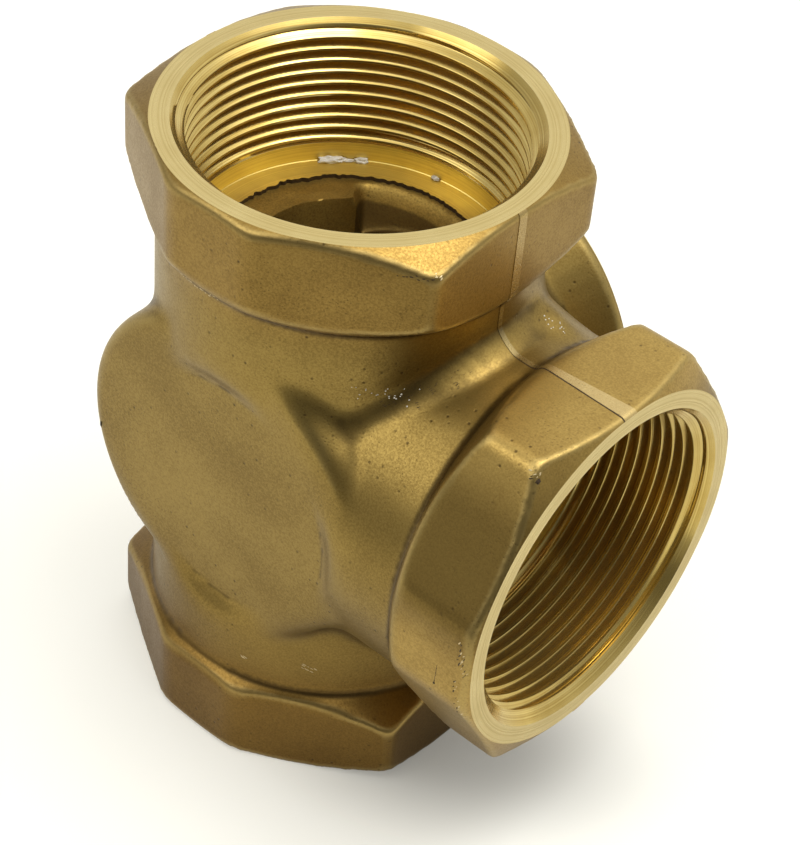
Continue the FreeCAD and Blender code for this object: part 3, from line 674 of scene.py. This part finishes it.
def machined_ring(skin, place, height, radius):
    """The flat cut face between the forging's edge and a round mouth."""
    ring = skin.copy()
    cut(ring, place, height, keep_inner=False)
    bmesh.ops.create_circle(ring, radius=radius, segments=192, matrix=raised(place, height))
    bmesh.ops.triangle_fill(ring, edges=ring.edges[:], use_beauty=True, normal=along(place))
    return ring


def thread_skin():
    """The helical thread of a port, run out at its end and countersunk at its mouth."""
    steps = 128
    depth = THREAD_ROOT - THREAD_CREST
    lead = -THREAD_END - THREAD_PITCH
    ridge = ((0.0, 0.0), (0.09, 0.0), (0.15, 0.1), (0.38, 0.88), (0.45, 1.0),
             (0.55, 1.0), (0.62, 0.88), (0.85, 0.1), (0.91, 0.0), (1.0, 0.0))
    turn = profile_line([(THREAD_CREST + depth * rise, lead + THREAD_PITCH * share)
                         for share, rise in ridge])
    bmesh.ops.spin(turn, geom=whole(turn), cent=(0, 0, 0), axis=(0, 0, 1),
                   dvec=(0, 0, THREAD_PITCH / steps), angle=math.tau, steps=steps)
    turns = math.ceil((THREAD_END + THREAD_PITCH * 2) / THREAD_PITCH)
    shape = joined([moved(turn.copy(), Matrix.Translation((0, 0, THREAD_PITCH * number)))
                    for number in range(turns)])
    turn.free()
    bmesh.ops.remove_doubles(shape, verts=shape.verts, dist=TINY)
    cut(shape, Matrix.Identity(4))
    cut(shape, Matrix.Identity(4), -THREAD_END, keep_inner=False, keep_outer=True)
    for vert in shape.verts:
        radius = math.hypot(vert.co.x, vert.co.y)
        run_out = THREAD_CREST + max(0.0, (THREAD_END + vert.co.z) * 0.8)
        set_radius(vert, max(min(radius, run_out), MOUTH_RADIUS + vert.co.z, THREAD_CREST))
    return shape


def ragged_radius(point):
    """Radius of the ledge's torn inner edge in the direction of a point."""
    way = Vector((point.x, point.y, 0)).normalized() * LEDGE_RADIUS
    tears = ((0.5 * MM, 1100), (0.3 * MM, 420), (0.25 * MM, 170))
    return sum((depth * noise.noise(way * pace) for depth, pace in tears), LEDGE_RADIUS)


def port_seat():
    """The plain bore below the thread and the ledge with its torn inner edge."""
    rounding = 0.12 * MM
    shape = spun([(THREAD_CREST, -THREAD_END), (THREAD_CREST, -LEDGE_DEPTH + rounding),
                  (THREAD_CREST - rounding, -LEDGE_DEPTH), (LEDGE_RADIUS, -LEDGE_DEPTH)], 384)
    for vert in shape.verts:
        if math.hypot(vert.co.x, vert.co.y) < LEDGE_RADIUS + TINY:
            set_radius(vert, ragged_radius(vert.co))
    return shape


def ledge_burrs():
    """The torn skin that hangs from the ledge's inner edge and leans inwards."""
    hang, gap, lean = 0.975 * MM, 0.02 * MM, 0.12 * MM
    shape = spun([(LEDGE_RADIUS, -LEDGE_DEPTH), (LEDGE_RADIUS, -LEDGE_DEPTH - hang)], 384)
    for vert in shape.verts:
        inset = gap if vert.co.z > -LEDGE_DEPTH - TINY else gap + lean
        set_radius(vert, ragged_radius(vert.co) - inset)
    return shape


def slope_depth(angle, radius):
    """How deep the floor slopes down at an angle in degrees and a radius."""
    share = smooth_step(131, 124, angle) * smooth_step(10, 45, angle)
    return SLOPE_DEPTH * share * smooth_step(
        LEDGE_RADIUS - 0.5 * MM, THROAT_RADIUS - 1 * MM, radius)


def rotor_height(x):
    """Height in the port's frame where the rotor's room begins, beside its axis."""
    room = CHAMBER_RADIUS + ROTOR_ROOM
    return math.sqrt(room ** 2 - min(x ** 2, CHAMBER_RADIUS ** 2)) - REACH


def raw_floor(flip):
    """The forged floor between the ledge and the throat, with a slope on the spindle's side."""
    wall = THROAT_RADIUS - 0.06 * MM
    rim = LEDGE_RADIUS + 1.2 * MM
    rings = [(rim - 0.4 * MM * step, FLOOR_LEVEL) for step in range(18)]
    rings += [(wall + 0.12 * MM, FLOOR_LEVEL - 0.1 * MM), (wall, FLOOR_LEVEL - 0.3 * MM)]
    rings += [(wall, FLOOR_LEVEL - 1.2 * MM * step) for step in range(1, 12)]
    shape = spun(rings, 256)
    bend = shape.verts.layers.float.new("bend")
    for vert in shape.verts:
        radius = math.hypot(vert.co.x, vert.co.y)
        angle = math.degrees(math.atan2(vert.co.y * flip, vert.co.x))
        sunk = slope_depth(angle, radius)
        # A bend below zero makes the material dark here: painted shade in the deep part of the
        # slope down to the throat.
        vert[bend] = -smooth_step(1.5 * MM, 4.0 * MM, sunk)
        floor = FLOOR_LEVEL - sunk
        if radius > wall + TINY:
            ridge = math.exp(-((angle - 128) / 5) ** 2) * smooth_step(
                LEDGE_RADIUS, LEDGE_RADIUS - 2 * MM, radius)
            uneven = 0.12 * noise.noise(vert.co * 350) + 0.05 * noise.noise(vert.co * 1300)
            vert.co.z = floor + uneven * MM + 0.45 * MM * ridge
        else:
            vert.co.z = min(vert.co.z, floor)
        vert.co.z = max(vert.co.z, rotor_height(vert.co.x))
    return shape


def band(skin, low, high, wanted, lift):
    """A strip of the skin between two upright cuts, raised as flash is where the dies met."""
    strip = skin.copy()
    cut(strip, low, keep_inner=False, keep_outer=True)
    cut(strip, high)
    keep_faces(strip, wanted)
    strip.normal_update()
    for vert in strip.verts:
        vert.co += vert.normal * lift * (0.8 + 0.5 * noise.noise(vert.co * 300))
    rims = [edge for edge in strip.edges if edge.is_boundary]
    normals = {vert.co.copy().freeze(): vert.normal.copy() for edge in rims for vert in edge.verts}
    for item in bmesh.ops.extrude_edge_only(strip, edges=rims)["geom"]:
        if isinstance(item, bmesh.types.BMVert):
            item.co -= normals[item.co.copy().freeze()] * lift * 2.5
    return strip


def across(y, turn=0.0, x=0.0):
    """A place whose Z axis points along +Y, at a depth y, turned about an upright line at x."""
    return (Matrix.Translation((x, y, 0)) @ Matrix.Rotation(math.radians(turn), 4, "Z")
            @ Matrix.Rotation(math.radians(-90), 4, "X"))


def flash(skin):
    """The trimmed flash along the line where the forging dies met."""

    def on_run(point):
        from_middle = abs(point.z - REACH)
        return point.x < REACH / 2 + 8 * MM and (point.x < 0 or from_middle > NECK_END + TINY)

    def on_fillets(point):
        return (REACH / 4 < point.x < NECK_END + 1 * MM
                and REACH / 4 < abs(point.z - REACH) < NECK_END + 0.5 * MM)

    def on_side_head(point):
        return point.x > NECK_END and abs(point.z - REACH) > REACH / 4

    return joined([
        band(skin, across(-0.9 * MM), across(1.0 * MM), on_run, 0.1 * MM),
        band(skin, across(-1.1 * MM), across(-0.1 * MM), on_fillets, 0.12 * MM),
        band(skin, across(-1.1 * MM, -1.6, NECK_END), across(0.1 * MM, 4.6, NECK_END),
             on_side_head, 0.1 * MM)])


def flash_shade_line(skin):
    """A thin dark strip beside the flash: painted shade of the small step at the flash's edge."""

    def wanted(point):
        return point.x > REACH / 4 and REACH / 4 < abs(point.z - REACH) < NECK_END + 1 * MM

    return band(skin, across(-1.32 * MM, -1.6, NECK_END), across(-1.1 * MM, -1.6, NECK_END),
                wanted, 0.03 * MM)


def smear(angle, radius, height, size, seed):
    """A small lump of dried grease in the upper port."""
    shape = bmesh.new()
    bmesh.ops.create_icosphere(shape, subdivisions=4, radius=1.0)
    for vert in shape.verts:
        vert.co *= 1 + 0.45 * noise.noise(vert.co * 1.8 + Vector((seed, 0, 0)))
    bmesh.ops.scale(shape, vec=Vector(size) * MM, verts=shape.verts)
    turn = Matrix.Rotation(math.radians(angle), 4, "Z")
    return moved(shape, PORTS["upper"] @ turn @ Matrix.Translation((radius, 0, height)))


# Small marks on the skin: kind, from and to in millimetres, how far they scatter, how many,
# their length and width in millimetres and their turn in degrees
MARKS = (
    ("dark", (-29.3, -30.7, 53.7), (-29.3, -30.7, 53.7), 0.0, 1, 2.0, 0.55, 80),
    ("dark", (53.6, -34.8, 58.4), (53.4, -34.8, 53.9), 0.02, 9, 0.7, 0.1, 88),
    ("dark", (53.4, -34.8, 53.9), (53.4, -34.8, 53.9), 0.0, 1, 0.45, 0.4, 0),
    ("dark", (57.2, -34.8, 66.5), (59.0, -34.8, 59.5), 0.7, 11, 0.9, 0.2, 60),
    ("pale", (57.5, -34.8, 66.0), (59.2, -34.8, 59.5), 0.7, 9, 0.8, 0.2, 60),
    ("dark", (57.0, -34.8, 58.5), (58.5, -34.5, 49.0), 0.5, 9, 0.6, 0.2, 60),
    ("pale", (57.3, -34.8, 58.5), (59.0, -34.5, 48.0), 0.5, 8, 0.6, 0.18, 60),
    ("pale", (-9.5, -31.5, 100.6), (1.5, -33.3, 101.4), 0.3, 16, 0.5, 0.22, 0),
    ("dark", (56.8, -21.2, 92.8), (58.0, -19.8, 92.2), 0.5, 6, 0.8, 0.3, 30),
    ("pale", (56.6, -20.8, 93.0), (58.0, -19.4, 92.8), 0.5, 5, 0.6, 0.25, 30),
    ("dark", (28.0, -21.6, 117.0), (33.8, -19.8, 116.8), 0.2, 9, 0.5, 0.2, 0),
    ("pale", (33.2, -19.4, 117.4), (34.6, -18.9, 117.0), 0.3, 8, 0.4, 0.22, 20),
    ("pale", (18.3, -27.4, 25.3), (21.0, -25.6, 24.0), 0.7, 10, 0.8, 0.18, -30),
    ("pale", (8.0, -32.0, 23.2), (9.5, -31.6, 23.0), 0.3, 3, 0.8, 0.15, -20),
    ("speck", (23.0, -23.5, 90.0), (29.5, -17.0, 89.5), 1.2, 26, 0.3, 0.26, 0),
    ("speck", (34.5, 10.0, 92.6), (38.0, 11.5, 92.3), 1.2, 14, 0.35, 0.25, 0),
    ("dark", (33.8, -11.4, 91.7), (34.6, -11.9, 91.0), 0.05, 4, 0.6, 0.12, 40),
    ("dark", (31.0, -14.5, 90.6), (31.8, -14.6, 89.6), 0.05, 4, 0.6, 0.12, 40),
    ("dark", (30.4, -17.0, 88.6), (31.6, -17.5, 88.0), 0.05, 4, 0.6, 0.12, 40),
    ("dark", (26.0, -21.0, 87.0), (34.0, -9.0, 92.6), 0.9, 30, 0.45, 0.08, 40),
)


def mark(tree, point, length, width, turn):
    """A small lump or nick that lies on the skin, set into it by half."""
    spot, normal = tree.find_nearest(point)[:2]
    shape = bmesh.new()
    bmesh.ops.create_icosphere(shape, subdivisions=2, radius=0.5)
    for vert in shape.verts:
        vert.co *= 1 + 0.5 * noise.noise(vert.co * 3 + point * 500)
    bmesh.ops.scale(shape, vec=(length, width, width / 2), verts=shape.verts)
    lying = normal.to_track_quat("Z", "Y").to_matrix().to_4x4()
    turned = lying @ Matrix.Rotation(math.radians(turn), 4, "Z")
    return moved(shape, Matrix.Translation(spot) @ turned)


def marks(skin):
    """All the small marks, as one shape for each kind."""
    tree = BVHTree.FromBMesh(skin)
    draw = random.Random(7)
    kinds = {}
    for kind, start, end, scatter, count, length, width, turn in MARKS:
        for step in range(count):
            share = (step + 0.5) / count
            point = Vector(start).lerp(Vector(end), share) * MM
            point += Vector([draw.uniform(-scatter, scatter) * MM for _ in range(3)])
            size = draw.uniform(0.6, 1.2) if count > 1 else 1.0
            kinds.setdefault(kind, []).append(mark(
                tree, point, length * size * MM, width * size * MM, turn + draw.uniform(-15, 15)))
    return {kind: joined(shapes) for kind, shapes in kinds.items()}


def forging_skin():
    """The forging as it was built, for what lies on it."""
    skin = bmesh.new()
    skin.from_mesh(bpy.data.objects["forging"].data)
    return skin


# Operators, one for each piece or group of like pieces

class ValveOperator:
    bl_options = {"REGISTER", "UNDO"}

    def execute(self, context):
        self.build(context.scene.valve_looks)
        return {"FINISHED"}


class VALVE_OT_casting(ValveOperator, bpy.types.Operator):
    """Build the forged casting with its cut faces, floors and chamber"""

    bl_idname = "valve.casting"
    bl_label = "Casting"

    def build(self, looks):
        skin = forging()
        rings = {name: machined_ring(skin, place, 0.0, MOUTH_RADIUS)
                 for name, place in PORTS.items()}
        flange = machined_ring(skin, SPINDLE_AXIS, FLANGE_FACE, CHAMBER_MOUTH)
        raw = forged_brass("forged brass", "forged", looks.forged_roughness)
        add_piece("forging", skin, raw, replaces=("valve_body",), crease=50)
        for name, ring in rings.items():
            gold = turned_brass(f"{name} cut brass", PORTS[name], "cut")
            add_piece(f"{name}_ring", ring, gold)
        add_piece("flange_face", flange, turned_brass("flange cut brass", SPINDLE_AXIS, "cut"))
        dull = forged_brass("scaled brass", "scale", 0.55)
        for name, place in PORTS.items():
            floor = moved(raw_floor(-1 if name == "lower" else 1), place)
            add_piece(f"{name}_floor", floor, dull, crease=60)
        chamber = solid_copy("valve_body")
        keep_faces(chamber, is_core)
        add_piece("chamber", chamber, dull)


class VALVE_OT_flash(ValveOperator, bpy.types.Operator):
    """Add the trimmed flash where the forging dies met"""

    bl_idname = "valve.flash"
    bl_label = "Flash"

    def build(self, looks):
        skin = forging_skin()
        # The dark strip beside the flash is painted shade of the flash's step.
        dark = plain_finish("painted flash shade", looks.pit_and_shade_colour, 0.3, 0.6)
        add_piece("flash_shade_line", flash_shade_line(skin), dark)
        trimmed = forged_brass("trimmed brass", "trim", 0.3)
        add_piece("flash", flash(skin), trimmed, crease=50)
        skin.free()


class VALVE_OT_marks(ValveOperator, bpy.types.Operator):
    """Scatter the chips, cracks and specks on the forging"""

    bl_idname = "valve.marks"
    bl_label = "Marks"

    def build(self, looks):
        skin = forging_skin()
        finishes = {
            "dark": ("chips_dark", plain_finish("dark chips", looks.pit_and_shade_colour, 0.3, 0.6)),
            "pale": ("chips_pale", plain_finish("bare chips", looks.chip_colour, 0.9, 0.35)),
            "speck": ("specks", plain_finish("pale specks", (0.85, 0.8, 0.68), 0.2, 0.4)),
        }
        for kind, shape in marks(skin).items():
            name, finish = finishes[kind]
            add_piece(name, shape, finish, crease=180)
        skin.free()


class VALVE_OT_grease(ValveOperator, bpy.types.Operator):
    """Leave the dried grease in the upper port"""

    bl_idname = "valve.grease"
    bl_label = "Grease"

    def build(self, looks):
        corner = -LEDGE_DEPTH + 0.25 * MM
        lumps = [smear(139.5, 27.8 * MM, corner, (0.85, 2.3, 0.75), 1),
                 smear(128.5, 27.9 * MM, corner, (0.6, 1.2, 0.55), 2),
                 smear(134.0, 27.8 * MM, corner - 0.1 * MM, (0.4, 1.6, 0.3), 3),
                 smear(100.0, 28.0 * MM, corner, (0.4, 0.8, 0.4), 4)]
        dried = plain_finish("dried grease", (0.82, 0.78, 0.68), 0.0, 0.4)
        add_piece("grease", joined(lumps), dried, crease=180)


class VALVE_OT_threads(ValveOperator, bpy.types.Operator):
    """Cut the pipe threads and seats of the ports"""

    bl_idname = "valve.threads"
    bl_label = "Port threads"

    def build(self, looks):
        thread = thread_skin()
        dark = plain_finish("torn edge", looks.pit_and_shade_colour, 0.3, 0.6)
        for name, place in PORTS.items():
            gold = turned_brass(f"{name} thread brass", place, "thread", roughness=0.18)
            bore = turned_brass(f"{name} bore brass", place, "bore", roughness=0.36)
            add_piece(f"{name}_thread", moved(thread.copy(), place), gold, crease=40)
            add_piece(f"{name}_seat", moved(port_seat(), place), bore)
            add_piece(f"{name}_burrs", moved(ledge_burrs(), place), dark)
        thread.free()


class VALVE_OT_inner_parts(ValveOperator, bpy.types.Operator):
    """Finish the rotor, spindle, bonnet, seals and fastenings"""

    bl_idname = "valve.inner_parts"
    bl_label = "Inner parts and bonnet"

    def build(self, looks):
        finishes = {
            "machined_brass": turned_brass("turned brass", SPINDLE_AXIS, "cut", 0.3 * MM),
            "steel": plain_finish("ground steel", (0.5, 0.5, 0.5), 1.0, 0.3),
            "screw_steel": plain_finish("plated steel", (0.6, 0.6, 0.58), 1.0, 0.32),
            "plastic": plain_finish("dark plastic", (0.03, 0.03, 0.03), 0.0, 0.5),
            "slip_plastic": plain_finish("slip plastic", (0.78, 0.76, 0.7), 0.0, 0.45),
            "seal_rubber": plain_finish("seal rubber", (0.015, 0.015, 0.015), 0.0, 0.6),
        }
        slots = {part["node"]: part["material_slot"] for part in frame["record"]["subparts"]}
        bodies = {node: body for body, nodes in frame["record"]["behaviour"]["bodies"].items()
                  for node in nodes}
        for node, slot in slots.items():
            if node != "valve_body":
                add_piece(node + "_finished", solid_copy(node), finishes[slot],
                          bodies[node], (node,))


class VALVE_OT_stage(ValveOperator, bpy.types.Operator):
    """Set up the floor, light and camera"""

    bl_idname = "valve.stage"
    bl_label = "Stage"

    def build(self, looks):
        add_floor()
        add_light()
        add_camera()
        bpy.context.scene.view_settings.view_transform = "Standard"


def contact_shade(nodes, place):
    """Factor for the darkest part of the shadow, a long oval under the side head."""
    turned = nodes.node("ShaderNodeMapping", {"vector_type": "TEXTURE"}, Vector=place,
                        Location=(40 * MM, -4 * MM, 0), Scale=(1.6, 1.0, 1.0),
                        Rotation=(0, 0, math.atan2(TO_CAMERA[0], -TO_CAMERA[1]))).outputs[0]
    away = nodes.node("ShaderNodeVectorMath", {"operation": "LENGTH"}, Vector=turned)
    return nodes.ramp(away.outputs["Value"], 3 * MM, 27 * MM, 0.5, 1.0)


def add_floor():
    """A sheet of pale paper, which glows for the camera and is dark past its near edge."""
    shape = bmesh.new()
    bmesh.ops.create_grid(shape, x_segments=1, y_segments=1, size=4.0,
                          matrix=Matrix.Translation((0, 0, -0.05 * MM)))
    floor = add_object("floor", shape)
    material, nodes, shader, place = new_material("pale floor")
    rays = nodes.node("ShaderNodeLightPath").outputs
    x, y, _ = nodes.axes(place)
    forward = nodes.total((x, TO_CAMERA[0]), (y, TO_CAMERA[1]))
    past_sheet = nodes.times(nodes.ramp(forward, 0.165, 0.23),
                             nodes.without(rays["Is Camera Ray"]))
    shade = contact_shade(nodes, place)
    sheet = nodes.ramp(nodes.noise(place, 3.0), 0.3, 0.7, 0.68, 0.7)
    tone = nodes.times(nodes.times(sheet, nodes.without(past_sheet, 0.8)), shade)
    glow = nodes.total((rays["Is Camera Ray"], 0.36), (rays["Is Glossy Ray"], 0.07))
    light = nodes.node("ShaderNodeEmission", Color=colour(PAPER), Strength=nodes.times(glow, shade))
    nodes.wire(shader, Base_Color=nodes.mix(1.0, colour(PAPER), tone, "MULTIPLY"), Roughness=0.8,
               Specular_IOR_Level=0.1)
    both = nodes.node("ShaderNodeAddShader")
    nodes.feed(both.inputs[0], shader.outputs[0])
    nodes.feed(both.inputs[1], light.outputs[0])
    end = next(node for node in nodes.tree.nodes if node.type == "OUTPUT_MATERIAL")
    nodes.wire(end, Surface=both.outputs[0])
    floor.data.materials.append(material)


def add_softbox():
    lamp = bpy.data.lights.new("top softbox", "AREA")
    lamp.shape = "DISK"
    lamp.size = 0.34
    lamp.energy = 1.22
    holder = bpy.data.objects.new("top softbox", lamp)
    holder.location = (0.2, 0.09, 0.76)
    towards = Vector((0, 0, REACH)) - Vector(holder.location)
    holder.rotation_euler = towards.to_track_quat("-Z", "Y").to_euler()
    bpy.context.scene.collection.objects.link(holder)


def lobe(nodes, aim, centre, edge, core):
    """How far a direction lies inside a soft cone round a centre, from 0 to 1."""
    towards = nodes.node("ShaderNodeVectorMath", {"operation": "DOT_PRODUCT"})
    nodes.feed(towards.inputs[0], aim)
    nodes.feed(towards.inputs[1], Vector(centre).normalized())
    return nodes.ramp(towards.outputs["Value"], edge, core)


def add_light():
    """Soft light from above and behind; the room in front of the valve is dark."""
    add_softbox()
    world = bpy.data.worlds.new("studio")
    world.use_nodes = True
    nodes = Tree(world.node_tree)
    aim = nodes.node("ShaderNodeTexCoord").outputs["Generated"]
    glow = nodes.total(*((lobe(nodes, aim, *cone), power) for power, *cone in LOBES.values()))
    front = lobe(nodes, aim, *DARK_FRONT)
    room = nodes.times(nodes.maths("ADD", glow, 0.36), nodes.without(front, 0.8))
    seen = nodes.node("ShaderNodeLightPath").outputs["Is Camera Ray"]
    strength = nodes.maths("MULTIPLY_ADD", room, nodes.without(seen), seen)
    sky = nodes.node("ShaderNodeBackground", Color=colour((1, 1, 1)), Strength=strength)
    nodes.node("ShaderNodeOutputWorld", Surface=sky.outputs[0])
    bpy.context.scene.world = world


def add_camera():
    """The camera at the photograph's angle, looking at its target from its distance."""
    shot = bpy.context.scene.valve_camera
    turn, tilt, roll = shot.azimuth, shot.elevation, shot.roll
    back = Vector((math.sin(turn) * math.cos(tilt), -math.cos(turn) * math.cos(tilt),
                   math.sin(tilt)))
    level = Vector((math.cos(turn), math.sin(turn), 0))
    rise = back.cross(level)
    right = level * math.cos(roll) + rise * math.sin(roll)
    up = rise * math.cos(roll) - level * math.sin(roll)
    data = bpy.data.cameras.new("photograph camera")
    data.sensor_width = 36.0
    data.lens = shot.lens
    data.clip_start = 0.01
    camera = bpy.data.objects.new("photograph camera", data)
    turned = Matrix((right, up, back)).transposed().to_4x4()
    turned.translation = Vector(shot.target) + back * shot.distance
    camera.matrix_world = turned
    bpy.context.scene.collection.objects.link(camera)
    bpy.context.scene.camera = camera


# Settings, panel and registration

def smoothing(name, where, passes):
    """A setting for how often a part of the skin is smoothed."""
    return IntProperty(name=name, description="Smoothing passes " + where, default=passes)


class ValveSizes(bpy.types.PropertyGroup):
    voxel: FloatProperty(
        name="Skin step", description="Spacing of the forged skin's mesh",
        default=0.66 * MM, unit="LENGTH")
    softness: smoothing("Softness", "on the whole forging", 3)
    barrel_softness: smoothing("Barrel softness", "between the hexagons", 6)
    lip_softness: smoothing("Lip softness", "on the lip of the back's flat", 24)
    crease_softness: smoothing("Crease softness", "where bevels meet the necks", 6)


def tone(name, description, shade):
    """A setting for a colour."""
    return FloatVectorProperty(name=name, description=description, subtype="COLOR", default=shade)


class ValveLooks(bpy.types.PropertyGroup):
    worn_colour: tone("Worn edges", "Tone of the forging's rubbed edges", (0.55, 0.41, 0.15))
    chip_colour: tone("Chips", "Tone of the bare metal in fresh chips", (0.85, 0.7, 0.4))
    # This dark tone is used for pits, chips and the torn ledge edge, and also as painted shade in
    # creases, on the floors' deep slope and beside the flash.
    pit_and_shade_colour: tone("Pits", "Tone of small pits", (0.06, 0.035, 0.012))
    head_tint: tone("Head tint", "How the hexagons are browner", (1.0, 0.935, 0.88))
    foot_tint: tone("Foot tint", "How the lower head is darker", (0.72, 0.66, 0.6))
    side_dark: tone("Side dark", "How the side head's sloping flats are darker", (0.7, 0.67, 0.63))
    side_tint: FloatVectorProperty(
        name="Side tint", description="How handling has brightened flats of the side head",
        default=(1.42, 1.4, 1.45))
    forged_roughness: FloatProperty(
        name="Forged roughness", description="Roughness of the forged skin", default=0.36)


# The light and the dark tone of each kind of brass: the raw skin, the raw inner faces, the
# trimmed flash, and cut faces, threads and bores
BRASS_TONES = {
    "forged": ((0.4, 0.275, 0.075), (0.23, 0.148, 0.036)),
    "scale": ((0.4, 0.26, 0.06), (0.2, 0.125, 0.028)),
    "trim": ((0.52, 0.4, 0.17), (0.4, 0.29, 0.11)),
    "cut": ((0.74, 0.59, 0.255), (0.56, 0.425, 0.155)),
    "thread": ((0.76, 0.58, 0.2), (0.52, 0.35, 0.08)),
    "bore": ((0.9, 0.71, 0.21), (0.66, 0.48, 0.125)),
}
for kind, pair in BRASS_TONES.items():
    for side, shade in zip(("light", "dark"), pair):
        ValveLooks.__annotations__[f"{kind}_{side}"] = tone(
            f"{kind.capitalize()} {side}", f"The {side} tone of the {kind} brass", shade)


class ValveCamera(bpy.types.PropertyGroup):
    azimuth: FloatProperty(
        name="Azimuth", description="Turn of the camera round the valve", subtype="ANGLE",
        default=math.radians(38.124))
    elevation: FloatProperty(
        name="Elevation", description="Height of the camera above the horizon", subtype="ANGLE",
        default=math.radians(41.434))
    roll: FloatProperty(
        name="Roll", description="Tilt of the camera about its view", subtype="ANGLE",
        default=math.radians(5.463))
    distance: FloatProperty(
        name="Distance", description="From the camera to its target", unit="LENGTH",
        default=0.41407)
    lens: FloatProperty(name="Lens", description="Focal length in millimetres", default=100.96)
    target: FloatVectorProperty(
        name="Target", description="Point at the middle of the picture", subtype="XYZ",
        unit="LENGTH", default=(0.014092, 0.0, 0.063262))


class VALVE_PT_build(bpy.types.Panel):
    """Builds the valve piece by piece"""

    bl_idname = "VALVE_PT_build"
    bl_label = "Mixing valve"
    bl_space_type = "VIEW_3D"
    bl_region_type = "UI"
    bl_category = "Valve"

    def draw(self, context):
        for name, settings in SETTINGS.items():
            column = self.layout.column()
            for setting in settings.__annotations__:
                column.prop(getattr(context.scene, name), setting)
        for operator in OPERATORS:
            self.layout.operator(operator.bl_idname)


OPERATORS = (VALVE_OT_casting, VALVE_OT_flash, VALVE_OT_marks, VALVE_OT_threads,
             VALVE_OT_grease, VALVE_OT_inner_parts, VALVE_OT_stage)
SETTINGS = {"valve_sizes": ValveSizes, "valve_looks": ValveLooks, "valve_camera": ValveCamera}


def register():
    for name, settings in SETTINGS.items():
        bpy.utils.register_class(settings)
        setattr(bpy.types.Scene, name, PointerProperty(type=settings))
    for operator in OPERATORS:
        bpy.utils.register_class(operator)
    bpy.utils.register_class(VALVE_PT_build)


def unregister():
    bpy.utils.unregister_class(VALVE_PT_build)
    for operator in reversed(OPERATORS):
        bpy.utils.unregister_class(operator)
    for name, settings in SETTINGS.items():
        delattr(bpy.types.Scene, name)
        bpy.utils.unregister_class(settings)


def main():
    register()
    bpy.ops.valve.casting()
    bpy.ops.valve.flash()
    bpy.ops.valve.marks()
    bpy.ops.valve.threads()
    bpy.ops.valve.grease()
    bpy.ops.valve.inner_parts()
    bpy.ops.valve.stage()


if __name__ == "__main__":
    main()
